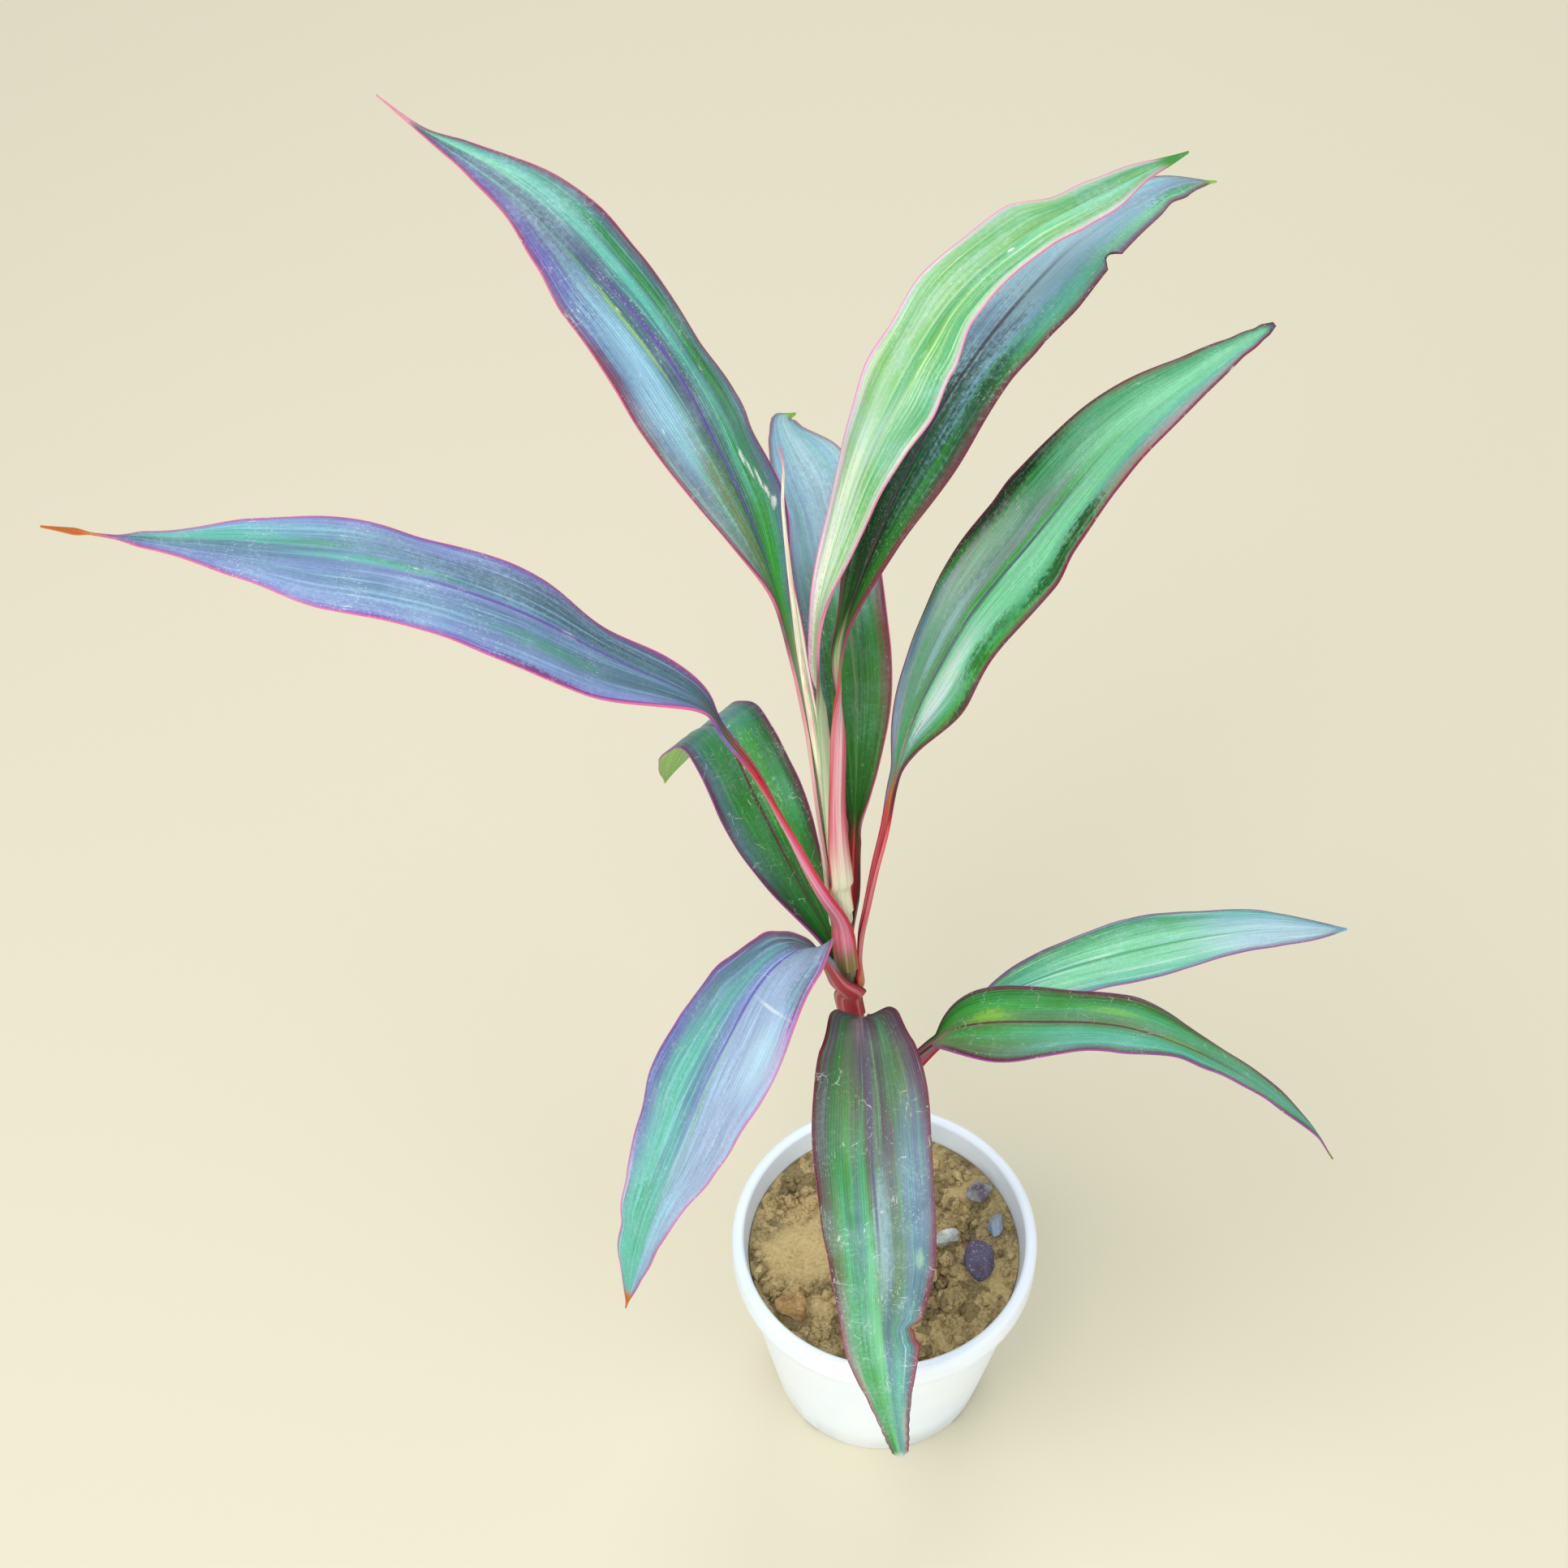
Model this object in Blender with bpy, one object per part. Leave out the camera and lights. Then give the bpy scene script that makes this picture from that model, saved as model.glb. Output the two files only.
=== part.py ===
"""A potted rosea dracaena: a leaning cane with eleven strap leaves and a rolled young one, in a
white plastic nursery pot of soil and stones.

Metres, +Z up. The origin is the middle of the pot's base, on the surface that it stands on.
Leaf tables are in millimetres and degrees, and are turned into metres where they are read.
"""
from math import pi, radians
from typing import NamedTuple

import bmesh
import bpy
import numpy as np
from mathutils import Matrix, Vector, noise

MM = 0.001
CLEAR = 0.3 * MM

# Pot
RIM_RADIUS = 62.5 * MM
POT_HEIGHT = 107 * MM
COLLAR_HEIGHT = 14 * MM
COLLAR_STEP = 3.1 * MM
BASE_RADIUS = 44.5 * MM
MOUTH_RADIUS = 57.6 * MM
FLOOR = 2.2 * MM
WALL = 2.0 * MM
POT_SIDES = 48
DRAIN_RADIUS = 4 * MM
DRAIN_CIRCLE = 29 * MM
DRAINS = 6
FOOT_NOTCHES = 4
FOOT_NOTCH = (9 * MM, 7 * MM, 2.4 * MM)

# Soil
SOIL_LEVEL = 95 * MM
SOIL_EDGE_RADIUS = 55.6 * MM
SOIL_RINGS = 14
CRUMB_HEIGHT = 1.6 * MM

# Cane and rolled young leaf. The shoot leans towards -X, by LEAN for each metre of height.
LEAN = 0.0857
LEAN_FROM = 90 * MM
CANE_FOOT = 55 * MM
CANE_TOP = 331 * MM
CANE_SIDES = 16
CANE_TAPER = ((90, 4.6), (200, 4.2), (331, 3.9))
SCARS_END = 184 * MM
SCAR_SPACING = 12.5 * MM
SCAR_HEIGHT = 0.35 * MM
SPEAR_SIDES = 10
SPEAR_TAPER = ((331, 2.1), (440, 1.6), (484, 1.05), (520, 0.75), (550, 0.55), (573, 0.3))
SPEAR_RINGS = 24
# The rolled leaf's middle: height, and how far it strays from the shoot's axis along X and Y
SPEAR_BEND = ((331.3, 0, 0), (400, -0.3, 0.5), (440, -1.4, 1.5), (480, -2.8, 3.0),
              (516, -2.9, 3.2), (550, -2.2, 3.0), (564, -0.8, 3.0), (573, -1.1, 3.0))

# Leaves
COLUMN_TAPER = ((90, 4.6), (200, 4.2), (320, 4.0), (440, 3.4))
SHEATH_GAP = 0.6 * MM
STALK_SKIN = 1.0 * MM
BLADE_SKIN = 0.8 * MM
MARGIN = 0.25 * MM
FOOT_BLEND = 0.03
LOBE_END = 0.4
STATIONS = 32
ACROSS = 6
WAVE = 1.0 * MM
WAVES = 3.0
SIDE_LAG = 1.1
PATH_STEPS = 24


class Leaf(NamedTuple):
    """One leaf, from its sheath to its tip. Directions turn anticlockwise from +X, and past a
    full turn where the stalk twists that way.

    node, leaves    heights where the sheath starts and where the stalk leaves the shoot
    seat, heading   directions of the sheath on the shoot, and of the leaf's growth
    clasp, sheath   half the angle that the sheath takes round the shoot, and its length
    stalk, petiole  half width of the stalk, and the length before the blade opens
    width, belly    width of the blade, and where along it that is
    base, point     fullness of the blade's foot, and slimness of its tip
    route           (out, up, sideways) from the point where the stalk leaves the shoot
    edges           (part of the blade, left, right): how far out each edge runs there, as a
                    share of the outline's half width
    cups, rolls     arc of the blade's cross-section and roll of the leaf, at even steps
    lobe            how far the blade's foot reaches back on either side of the stalk
    twist           share of the free stalk that stays unturned
    layer           how much nearer to the shoot's middle the sheath sits
    """
    node: float
    leaves: float
    seat: float
    heading: float
    clasp: float
    sheath: float
    stalk: float
    petiole: float
    width: float
    belly: float
    base: float
    point: float
    route: tuple
    edges: tuple
    cups: tuple = (0.0, 0.0)
    rolls: tuple = (0.0, 0.0)
    lobe: float = 0.0
    twist: float = 0.0
    layer: float = 0.0


LEAVES = {
    "leaf_far_left": Leaf(
        node=309, leaves=330, seat=273, heading=175, clasp=46, sheath=44, stalk=2.7, petiole=145,
        width=37, belly=0.42, base=0.75, point=1.35, cups=(-0.2, -0.3, 0.0),
        edges=((0, 1, 1), (0.1, 1.15, 0.85), (0.19, 1.18, 0.8), (0.32, 1.05, 1), (0.46, 1, 1),
               (0.6, 1, 1.2), (0.73, 0.72, 1.1), (0.86, 0.43, 0.7), (0.905, 0.15, 0.2),
               (0.93, 0.1, 0.12), (0.96, 0.8, 0.8), (1, 1, 1)),
        route=((1, 15.5, 8), (6, 29.5, 9.5), (11.5, 44, 9.5), (20, 66.5, 7.5), (31, 91, 3.5),
               (41, 107, 1), (48, 122), (76, 142), (108, 164), (144, 177), (190, 181),
               (227, 184), (252, 187))),
    "leaf_upper_left": Leaf(
        node=334, leaves=420, seat=158, heading=142, clasp=74, sheath=90, stalk=2.6, petiole=155,
        width=37, belly=0.42, base=1.1, point=1.6, cups=(-0.5, -0.7, -0.2, 0.0), layer=-1.1,
        edges=((0, 1, 1.5), (0.15, 1, 1.8), (0.29, 1, 1.2), (0.43, 1.1, 0.88), (0.58, 1, 1.03),
               (0.66, 0.86, 1.1), (0.74, 0.75, 1.12), (0.79, 0.76, 1.12), (0.86, 0.62, 1.1),
               (0.93, 0.6, 0.6), (1, 1, 1)),
        route=((7.8, 23.5), (13.3, 52), (23, 88), (39, 124), (60, 155), (82, 172), (114, 189),
               (155, 193), (172, 197))),
    "leaf_crown_pale": Leaf(
        node=335, leaves=452, seat=337, heading=398, clasp=84, sheath=140, stalk=2.6, petiole=144,
        width=29, belly=0.55, base=1.35, point=1.15, cups=(-0.1, -0.3, -0.2, 0.0), layer=-1.5,
        edges=((0, 1, 1), (0.33, 1, 1), (0.4, 0.94, 1.05), (0.46, 1, 1.1), (0.53, 0.9, 0.9),
               (0.6, 1.02, 0.65), (0.66, 0.98, 0.6), (0.74, 1.05, 0.62), (0.8, 0.66, 0.75),
               (0.86, 0.82, 0.9), (0.93, 1.1, 0.7), (1, 1, 1)),
        route=((-0.5, 29, -0.5), (1, 53), (7, 78), (22, 120), (48, 154), (74, 163), (107, 163),
               (140, 160))),
    "leaf_crown_dark": Leaf(
        node=344, leaves=358, seat=287, heading=406, clasp=46, sheath=80, stalk=2.6, petiole=146,
        width=33, belly=0.45, base=1.0, point=1.35, twist=0.6,
        edges=((0, 1, 1), (0.18, 1, 0.8), (0.32, 1, 1), (0.46, 1, 0.85), (0.52, 1, 0.9),
               (0.6, 1, 1.02), (0.8, 1, 1), (0.84, 1, 0.92), (0.88, 1, 1.25), (0.95, 1, 1.4),
               (1, 1, 1)),
        route=((-3.3, 6, -6.2), (-4.6, 26.5, -5.4), (-5.3, 52, -4.7), (-4.8, 82, -4.2), (-3.4, 109, -2.6),
               (-1.5, 129.5, -0.5), (13, 168, -1), (33, 198, -1), (61, 220, -1), (100, 232, -1),
               (143, 226, -1), (169, 211, -1))),
    "leaf_upper_right": Leaf(
        node=295.5, leaves=309, seat=363, heading=388, clasp=55, sheath=14, stalk=2.6, petiole=112,
        width=38, belly=0.42, base=1.0, point=1.15, cups=(0.0, 0.1, 0.4, 0.4),
        edges=((0, 1, 1), (0.1, 1, 1.1), (0.22, 1, 1.2), (0.35, 1, 1), (0.5, 1, 1.03),
               (0.56, 1.08, 0.92), (0.7, 1.1, 1), (0.85, 1.1, 1), (0.93, 1.25, 1.1),
               (0.97, 1.2, 1.6), (1, 1, 1.6)),
        route=((5.2, 14, -2), (6.7, 32.5, -3), (10, 52.5, -2), (13.5, 72.5, -1.5), (16.5, 98, -1),
               (22.5, 126, -0.5), (40, 165), (62, 192), (93, 226), (123, 241), (146, 249))),
    "leaf_back_hooked": Leaf(
        node=302, leaves=318, seat=86, heading=95, clasp=30, sheath=10, stalk=2.5, petiole=70,
        width=30, belly=0.5, base=0.9, point=0.85,
        edges=((0, 1, 0.85), (0.5, 1, 0.85), (0.75, 1.1, 1), (0.88, 1.5, 1.5), (0.95, 1.6, 1),
               (1, 1, 1)),
        route=((7.5, 22, -3), (9.5, 44, -3), (14, 71, -4), (19, 92, -4.5), (26, 113, -4.5),
               (34, 133, -3), (44, 150, -0.5), (56, 164, 2.5), (67, 173, 6), (78, 176, 10.5),
               (84, 178, 13), (88, 179.5, 14), (91, 178.5, 10))),
    "leaf_back_folded": Leaf(
        node=270, leaves=284, seat=126, heading=130, clasp=38, sheath=10, stalk=3.0, petiole=30,
        width=36, belly=0.42, base=1.0, point=1.15,
        edges=((0, 1, 1), (0.3, 0.88, 1), (0.6, 0.88, 1), (0.8, 1, 1.3), (0.92, 1.2, 1.8),
               (1, 1, 1)),
        route=((14, 25), (33, 44), (55, 68), (66, 82), (74, 87), (83, 80), (99, 46), (108, 21))),
    "leaf_drooping_left": Leaf(
        node=279, leaves=291, seat=262, heading=228, clasp=62, sheath=40, stalk=3.0, petiole=58,
        width=43, belly=0.34, base=0.38, point=1.6, cups=(-0.2, -0.4, 0.0, 0.0),
        rolls=(0, -28, -8, 4, 8), lobe=6,
        edges=((0, 0.35, 0.5), (0.06, 0.5, 0.65), (0.14, 0.92, 0.85), (0.27, 1, 1.08),
               (0.37, 1, 1.12), (0.48, 0.92, 1.2), (0.58, 0.84, 1.08), (0.69, 0.74, 1.02),
               (0.79, 0.8, 1.3), (0.895, 1.1, 2.2), (0.96, 1.5, 2.5), (1, 1, 1)),
        route=((4, 2.5, 4.5), (8.5, 12.5, 2.5), (14, 28.5, 2), (21, 48, 2), (29.5, 58.5, 1.5),
               (40.5, 59), (52, 51.5, -1), (62, 39, -1.5), (73, 23, -2), (85.5, 0.5, -2),
               (102, -36.5, -4), (117.5, -86.5, -5))),
    "leaf_drooping_front": Leaf(
        node=236, leaves=244, seat=275, heading=274, clasp=75, sheath=12, stalk=3.0, petiole=62,
        width=43, belly=0.28, base=0.33, point=1.4, cups=(0.4, 0.1, 0.0, 0.0), lobe=10,
        edges=((0, 1, 1), (0.2, 1, 1), (0.36, 1, 0.95), (0.46, 1, 0.91), (0.57, 0.93, 0.9),
               (0.6, 0.9, 0.92), (0.625, 0.72, 0.94), (0.65, 0.8, 0.97), (0.68, 0.98, 1),
               (0.79, 1, 1.02), (0.89, 1.25, 1.3), (0.95, 1.6, 1.6), (1, 1.5, 1.5)),
        route=((8, 22.5), (11.5, 39.5, -1), (16, 51, -1), (22, 53.5, -1), (29, 46.5, -0.5),
               (38, 37), (52, 19), (73, -23, 2), (86, -63, 3), (94, -98, 6), (99, -137, 11))),
    "leaf_right_pale": Leaf(
        node=188, leaves=198, seat=25, heading=12, clasp=65, sheath=10, stalk=2.6, petiole=80,
        width=29, belly=0.45, base=0.9, point=1.15, rolls=(0, 0, 8, 8),
        edges=((0, 1, 1), (0.4, 1, 1), (0.6, 1, 0.86), (0.8, 1, 0.9), (1, 1.4, 1.4)),
        route=((10, 14), (22, 38), (34, 56), (46, 70), (69, 81), (105, 87), (142, 86), (183, 75))),
    "leaf_right_low": Leaf(
        node=212, leaves=220, seat=335, heading=343, clasp=65, sheath=8, stalk=2.6, petiole=60,
        width=36, belly=0.26, base=0.7, point=1.5, cups=(-0.2, 0.0, 0.0), rolls=(0, 0, 25, 35),
        edges=((0, 1, 1), (0.3, 1, 1), (0.45, 1, 0.85), (0.56, 0.95, 0.5), (0.62, 0.95, 0.65),
               (0.7, 1, 0.85), (1, 1, 1)),
        route=((10, 9), (26, 45), (37, 62), (63, 77), (97, 88), (133, 79), (165, 55), (176, 37))),
}

# Stones: middle (x, y), half sizes and turn about +Z, in millimetres and degrees
STONES = {
    "stone_pale": ((25.5, 5.0), (5.2, 3.6, 2.6), 20),
    "stone_dark": ((39.5, -6.5), (5.6, 8.4, 5.0), 12),
    "stone_flake": ((46.5, 11.0), (3.2, 5.2, 3.4), -8),
    "stone_lump": ((39.5, 26.0), (6.0, 4.2, 4.0), 40),
    "stone_clod": ((-37.5, -27.0), (7.0, 5.2, 4.2), -25),
}
STONE_SEAT_MARGIN = 3.5 * MM
STONE_SEAT_SLOPE = 0.5

# Colours, as linear red, green and blue, and roughness
FINISHES = {
    "pot": ((0.80, 0.81, 0.84), 0.38),
    "soil": ((0.36, 0.24, 0.115), 0.95),
    "cane": ((0.22, 0.20, 0.10), 0.75),
    "spear": ((0.62, 0.50, 0.46), 0.50),
    "stone_pale": ((0.55, 0.48, 0.40), 0.85),
    "stone_dark": ((0.08, 0.06, 0.09), 0.70),
    "stone_flake": ((0.34, 0.31, 0.36), 0.80),
    "stone_lump": ((0.30, 0.27, 0.30), 0.85),
    "stone_clod": ((0.42, 0.29, 0.15), 0.95),
    "leaf_far_left": ((0.13, 0.20, 0.25), 0.42),
    "leaf_upper_left": ((0.12, 0.20, 0.22), 0.42),
    "leaf_crown_pale": ((0.42, 0.50, 0.30), 0.45),
    "leaf_crown_dark": ((0.04, 0.09, 0.05), 0.40),
    "leaf_upper_right": ((0.15, 0.27, 0.23), 0.40),
    "leaf_back_hooked": ((0.05, 0.11, 0.05), 0.42),
    "leaf_back_folded": ((0.04, 0.09, 0.04), 0.42),
    "leaf_drooping_left": ((0.20, 0.32, 0.36), 0.42),
    "leaf_drooping_front": ((0.13, 0.22, 0.17), 0.42),
    "leaf_right_pale": ((0.28, 0.45, 0.38), 0.42),
    "leaf_right_low": ((0.11, 0.22, 0.14), 0.42),
}


def clear_scene():
    """Remove whatever the open file holds."""
    for thing in list(bpy.data.objects):
        bpy.data.objects.remove(thing)


def finish(name):
    """The plain material of one sub-part."""
    colour, roughness = FINISHES[name]
    material = bpy.data.materials.new(name)
    material.use_nodes = True
    shader = material.node_tree.nodes["Principled BSDF"]
    shader.inputs["Base Color"].default_value = (*colour, 1.0)
    shader.inputs["Roughness"].default_value = roughness
    material.diffuse_color = (*colour, 1.0)
    return material


def to_object(name, mesh_data, sharp_angle=40):
    """Turn a bmesh into a named, smooth-shaded object with its own material."""
    bmesh.ops.recalc_face_normals(mesh_data, faces=mesh_data.faces[:])
    mesh = bpy.data.meshes.new(name)
    mesh_data.to_mesh(mesh)
    mesh_data.free()
    mesh.shade_smooth()
    mesh.set_sharp_from_angle(angle=radians(sharp_angle))
    piece = bpy.data.objects.new(name, mesh)
    if name in FINISHES:
        piece.data.materials.append(finish(name))
    bpy.context.scene.collection.objects.link(piece)
    return piece


def table(value, pairs):
    """Read a two-column table in millimetres at a value in metres."""
    at, size = np.transpose(pairs)
    return np.interp(value, at * MM, size * MM)


def ease(start, end, value):
    """0 before start, 1 after end, and smooth between them."""
    part = np.clip((value - start) / (end - start), 0, 1)
    return part * part * (3 - 2 * part)


def shoot_x(height):
    """Where the leaning shoot's axis is at a height."""
    return -LEAN * (height - LEAN_FROM)


def circle(radius, height, sides, middle=0.0):
    """Points of a level ring, with its middle on the X axis."""
    angle = np.arange(sides) * 2 * pi / sides
    ring = np.zeros((sides, 3))
    ring[:, 0] = middle + radius * np.cos(angle)
    ring[:, 1] = radius * np.sin(angle)
    ring[:, 2] = height
    return ring


def skin_rings(rings):
    """A closed body through a list of rings, with a face over the first and the last one."""
    body = bmesh.new()
    bmesh.ops.create_circle(body, cap_ends=True, radius=1.0, segments=len(rings[0]))
    body.verts.ensure_lookup_table()
    loop = body.verts[:]
    for vert, point in zip(loop, rings[0]):
        vert.co = point
    edges = body.edges[:]
    for ring in rings[1:]:
        grown = bmesh.ops.extrude_edge_only(body, edges=edges)["geom"]
        edges = [item for item in grown if isinstance(item, bmesh.types.BMEdge)]
        edges = [edge for edge in edges if not any(vert in loop for vert in edge.verts)]
        loop = [next(e.other_vert(vert) for e in vert.link_edges if e.other_vert(vert) in grown)
                for vert in loop]
        for vert, point in zip(loop, ring):
            vert.co = point
    body.faces.new(loop)
    return body


def pot_outside(height):
    """Radius of the pot's outer wall below the collar."""
    under = POT_HEIGHT - COLLAR_HEIGHT
    return BASE_RADIUS + (RIM_RADIUS - COLLAR_STEP - BASE_RADIUS) * height / under


def pot_inside(height):
    """Radius of the pot's inner wall, which is thickest behind the collar."""
    foot = pot_outside(FLOOR) - WALL
    return foot + (SOIL_EDGE_RADIUS + CLEAR - foot) * (height - FLOOR) / (SOIL_LEVEL - FLOOR)


def pot_profile():
    """The pot's section from the edge of its base, over the rim, down to the inner floor."""
    under = POT_HEIGHT - COLLAR_HEIGHT
    edge = 0.8 * MM
    rim = RIM_RADIUS
    top = POT_HEIGHT
    return (
        (BASE_RADIUS - edge, 0.0), (BASE_RADIUS, edge),
        (pot_outside(under / 2), under / 2), (pot_outside(under), under),
        (rim - edge, under + edge / 2), (rim, under + 1.5 * edge),
        (rim, top - 2.4 * MM), (rim - 0.6 * MM, top - 0.9 * MM), (rim - 1.9 * MM, top),
        (MOUTH_RADIUS + 1.4 * MM, top), (MOUTH_RADIUS + 0.3 * MM, top - 0.6 * MM),
        (MOUTH_RADIUS, top - 1.8 * MM), (pot_inside(SOIL_LEVEL), SOIL_LEVEL),
        (pot_inside(SOIL_LEVEL / 2), SOIL_LEVEL / 2), (pot_inside(2 * FLOOR), 2 * FLOOR),
        (pot_inside(FLOOR) - 1.2 * MM, FLOOR),
    )


def drain_cutter():
    """Six round holes through the floor and four low notches under the wall's foot."""
    cutter = bmesh.new()
    for turn in range(DRAINS):
        spot = Matrix.Rotation(2 * pi * (turn + 0.5) / DRAINS, 4, "Z")
        spot = spot @ Matrix.Translation((DRAIN_CIRCLE, 0, FLOOR / 2))
        bmesh.ops.create_cone(cutter, cap_ends=True, segments=12, radius1=DRAIN_RADIUS,
                              radius2=DRAIN_RADIUS, depth=3 * FLOOR, matrix=spot)
    for turn in range(FOOT_NOTCHES):
        spot = Matrix.Rotation(2 * pi * (turn + 0.54) / FOOT_NOTCHES, 4, "Z")
        spot = spot @ Matrix.Translation((BASE_RADIUS, 0, 0)) @ Matrix.Diagonal((*FOOT_NOTCH, 1))
        bmesh.ops.create_cube(cutter, size=1.0, matrix=spot)
    piece = to_object("drain_cutter", cutter)
    piece.hide_render = True
    piece.display_type = "WIRE"
    return piece


def make_pot():
    """The turned pot with its collar, rounded rim and drainage."""
    rings = [circle(radius, height, POT_SIDES) for radius, height in pot_profile()]
    pot = to_object("pot", skin_rings(rings), sharp_angle=50)
    cut = pot.modifiers.new("drainage", "BOOLEAN")
    cut.operation = "DIFFERENCE"
    cut.object = drain_cutter()
    return pot


def crumbs(x, y):
    """Height of the soil's crumbs and low swells over its level, by position."""
    fine = noise.noise(Vector((x, y, 0.0)) / (5.5 * MM) + Vector((3.1, 7.7, 0.4)))
    broad = noise.noise(Vector((x, y, 0.0)) / (19 * MM) + Vector((9.2, 1.3, 2.2)))
    return CRUMB_HEIGHT * (fine + 0.9 * broad)


def stone_seats():
    """Each stone's middle, reach and the level of the flat patch that it lies on."""
    for (x, y), half, _ in STONES.values():
        reach = max(half[:2]) * MM
        yield x * MM, y * MM, reach, SOIL_LEVEL + crumbs(x * MM, y * MM) - 0.5 * MM


def soil_height(x, y):
    """The soil's top: crumbs, with a flat patch under each stone and round the cane."""
    height = SOIL_LEVEL + crumbs(x, y)
    for seat_x, seat_y, reach, level in stone_seats():
        away = max(np.hypot(x - seat_x, y - seat_y) - reach - STONE_SEAT_MARGIN, 0)
        height = min(height, level + STONE_SEAT_SLOPE * away)
    edge = ease(SOIL_EDGE_RADIUS, SOIL_EDGE_RADIUS - 4 * MM, np.hypot(x, y))
    return SOIL_LEVEL + (height - SOIL_LEVEL) * edge


def make_soil():
    """The filled pot's soil: one body with a crumbly top and a plain hole for the cane."""
    hole = table(CANE_FOOT, CANE_TAPER) + CLEAR
    bottom = CANE_FOOT - CLEAR
    rings = [circle(hole, z, POT_SIDES, shoot_x(z)) for z in (bottom, (bottom + SOIL_LEVEL) / 2)]
    for step in range(SOIL_RINGS + 1):
        part = step / SOIL_RINGS
        radius = hole + (SOIL_EDGE_RADIUS - hole) * part
        ring = circle(radius, SOIL_LEVEL, POT_SIDES, shoot_x(SOIL_LEVEL) * (1 - part))
        ring[:, 2] = [soil_height(x, y) for x, y, _ in ring]
        rings.append(ring)
    for height in (SOIL_LEVEL / 2, 2 * FLOOR, FLOOR + CLEAR):
        inset = CLEAR if height > FLOOR + CLEAR else 1.6 * MM
        rings.append(circle(pot_inside(height) - inset, height, POT_SIDES))
    return to_object("soil", skin_rings(rings), sharp_angle=60)


def make_stone(name, seat):
    """A rough pebble, flat below, on its patch of soil."""
    (x, y), half, turn = STONES[name]
    level = seat[3] + CLEAR
    body = bmesh.new()
    bmesh.ops.create_icosphere(body, subdivisions=2, radius=1.0)
    for vert in body.verts:
        lump = 1 + 0.28 * noise.noise(vert.co * 1.3 + Vector((x, y, turn)))
        vert.co = Vector(np.multiply(vert.co, half)) * lump * MM
        vert.co.z = max(vert.co.z, -0.45 * half[2] * MM)
    low = min(vert.co.z for vert in body.verts)
    place = Matrix.Translation((x * MM, y * MM, level - low)) @ Matrix.Rotation(radians(turn), 4, "Z")
    bmesh.ops.transform(body, matrix=place, verts=body.verts)
    return to_object(name, body, sharp_angle=35)


def make_cane():
    """The woody cane, with ring scars where old leaves were."""
    heights = [CANE_FOOT, SOIL_LEVEL]
    scar = SOIL_LEVEL + 6 * MM
    while scar < SCARS_END:
        heights += [scar - 2.5 * MM, scar, scar + 1.2 * MM]
        scar += SCAR_SPACING
    scar_heights = heights[3::3]
    heights += list(np.linspace(SCARS_END + 2 * MM, CANE_TOP, 8))
    rings = []
    for height in heights:
        radius = table(height, CANE_TAPER) + (SCAR_HEIGHT if height in scar_heights else 0)
        rings.append(circle(radius, height, CANE_SIDES, shoot_x(height)))
    return to_object("cane", skin_rings(rings), sharp_angle=30)


def smooth_path(points, count):
    """Evenly spaced points on a centripetal spline through the given ones, and its length."""
    p = np.vstack([2 * points[0] - points[1], points, 2 * points[-1] - points[-2]])
    spans = []
    for first in range(len(p) - 3):
        p0, p1, p2, p3 = p[first:first + 4]
        t0 = 0.0
        t1 = t0 + np.linalg.norm(p1 - p0) ** 0.5
        t2 = t1 + np.linalg.norm(p2 - p1) ** 0.5
        t3 = t2 + np.linalg.norm(p3 - p2) ** 0.5
        t = np.linspace(t1, t2, PATH_STEPS, endpoint=False)[:, None]
        a1 = p0 + (p1 - p0) * (t - t0) / (t1 - t0)
        a2 = p1 + (p2 - p1) * (t - t1) / (t2 - t1)
        a3 = p2 + (p3 - p2) * (t - t2) / (t3 - t2)
        b1 = a1 + (a2 - a1) * (t - t0) / (t2 - t0)
        b2 = a2 + (a3 - a2) * (t - t1) / (t3 - t1)
        spans.append(b1 + (b2 - b1) * (t - t1) / (t2 - t1))
    dense = np.vstack(spans + [p[-2:-1]])
    run = np.concatenate([[0], np.cumsum(np.linalg.norm(np.diff(dense, axis=0), axis=1))])
    even = np.linspace(0, run[-1], count)
    return np.stack([np.interp(even, run, dense[:, axis]) for axis in range(3)], 1), run[-1]


def make_spear():
    """The youngest leaf, still rolled, standing on the cane's top."""
    points = [(shoot_x(z * MM) + x * MM, y * MM, z * MM) for z, x, y in SPEAR_BEND]
    middle, _ = smooth_path(np.array(points), SPEAR_RINGS)
    rings = []
    for x, y, height in middle:
        radius = table(height, SPEAR_TAPER)
        ring = circle(radius, height, SPEAR_SIDES, x)
        ring[:, 1] += y
        ring[0] -= (0.25 * radius, 0, 0)
        rings.append(ring)
    return to_object("spear", skin_rings(rings), sharp_angle=60)


def seat_radius(leaf, height):
    """Distance from the shoot's axis to the middle of a leaf's sheath."""
    return table(height, COLUMN_TAPER) + leaf.layer * MM + SHEATH_GAP + STALK_SKIN / 2


def leaf_points(leaf):
    """A leaf's own points, up the shoot along its sheath and then out along its route."""
    node, leaves = leaf.node * MM, leaf.leaves * MM
    seat, heading = radians(leaf.seat), radians(leaf.heading)
    points = []
    for height in np.linspace(node, leaves, max(2, round((leaf.leaves - leaf.node) / 12) + 1)):
        radius = seat_radius(leaf, height)
        points.append((shoot_x(height) + radius * np.cos(seat), radius * np.sin(seat), height))
    for out, up, *side in leaf.route:
        aside = side[0] if side else 0.0
        points.append((shoot_x(leaves) + (out * np.cos(heading) - aside * np.sin(heading)) * MM,
                       (out * np.sin(heading) + aside * np.cos(heading)) * MM, leaves + up * MM))
    return np.array(points)


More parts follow.
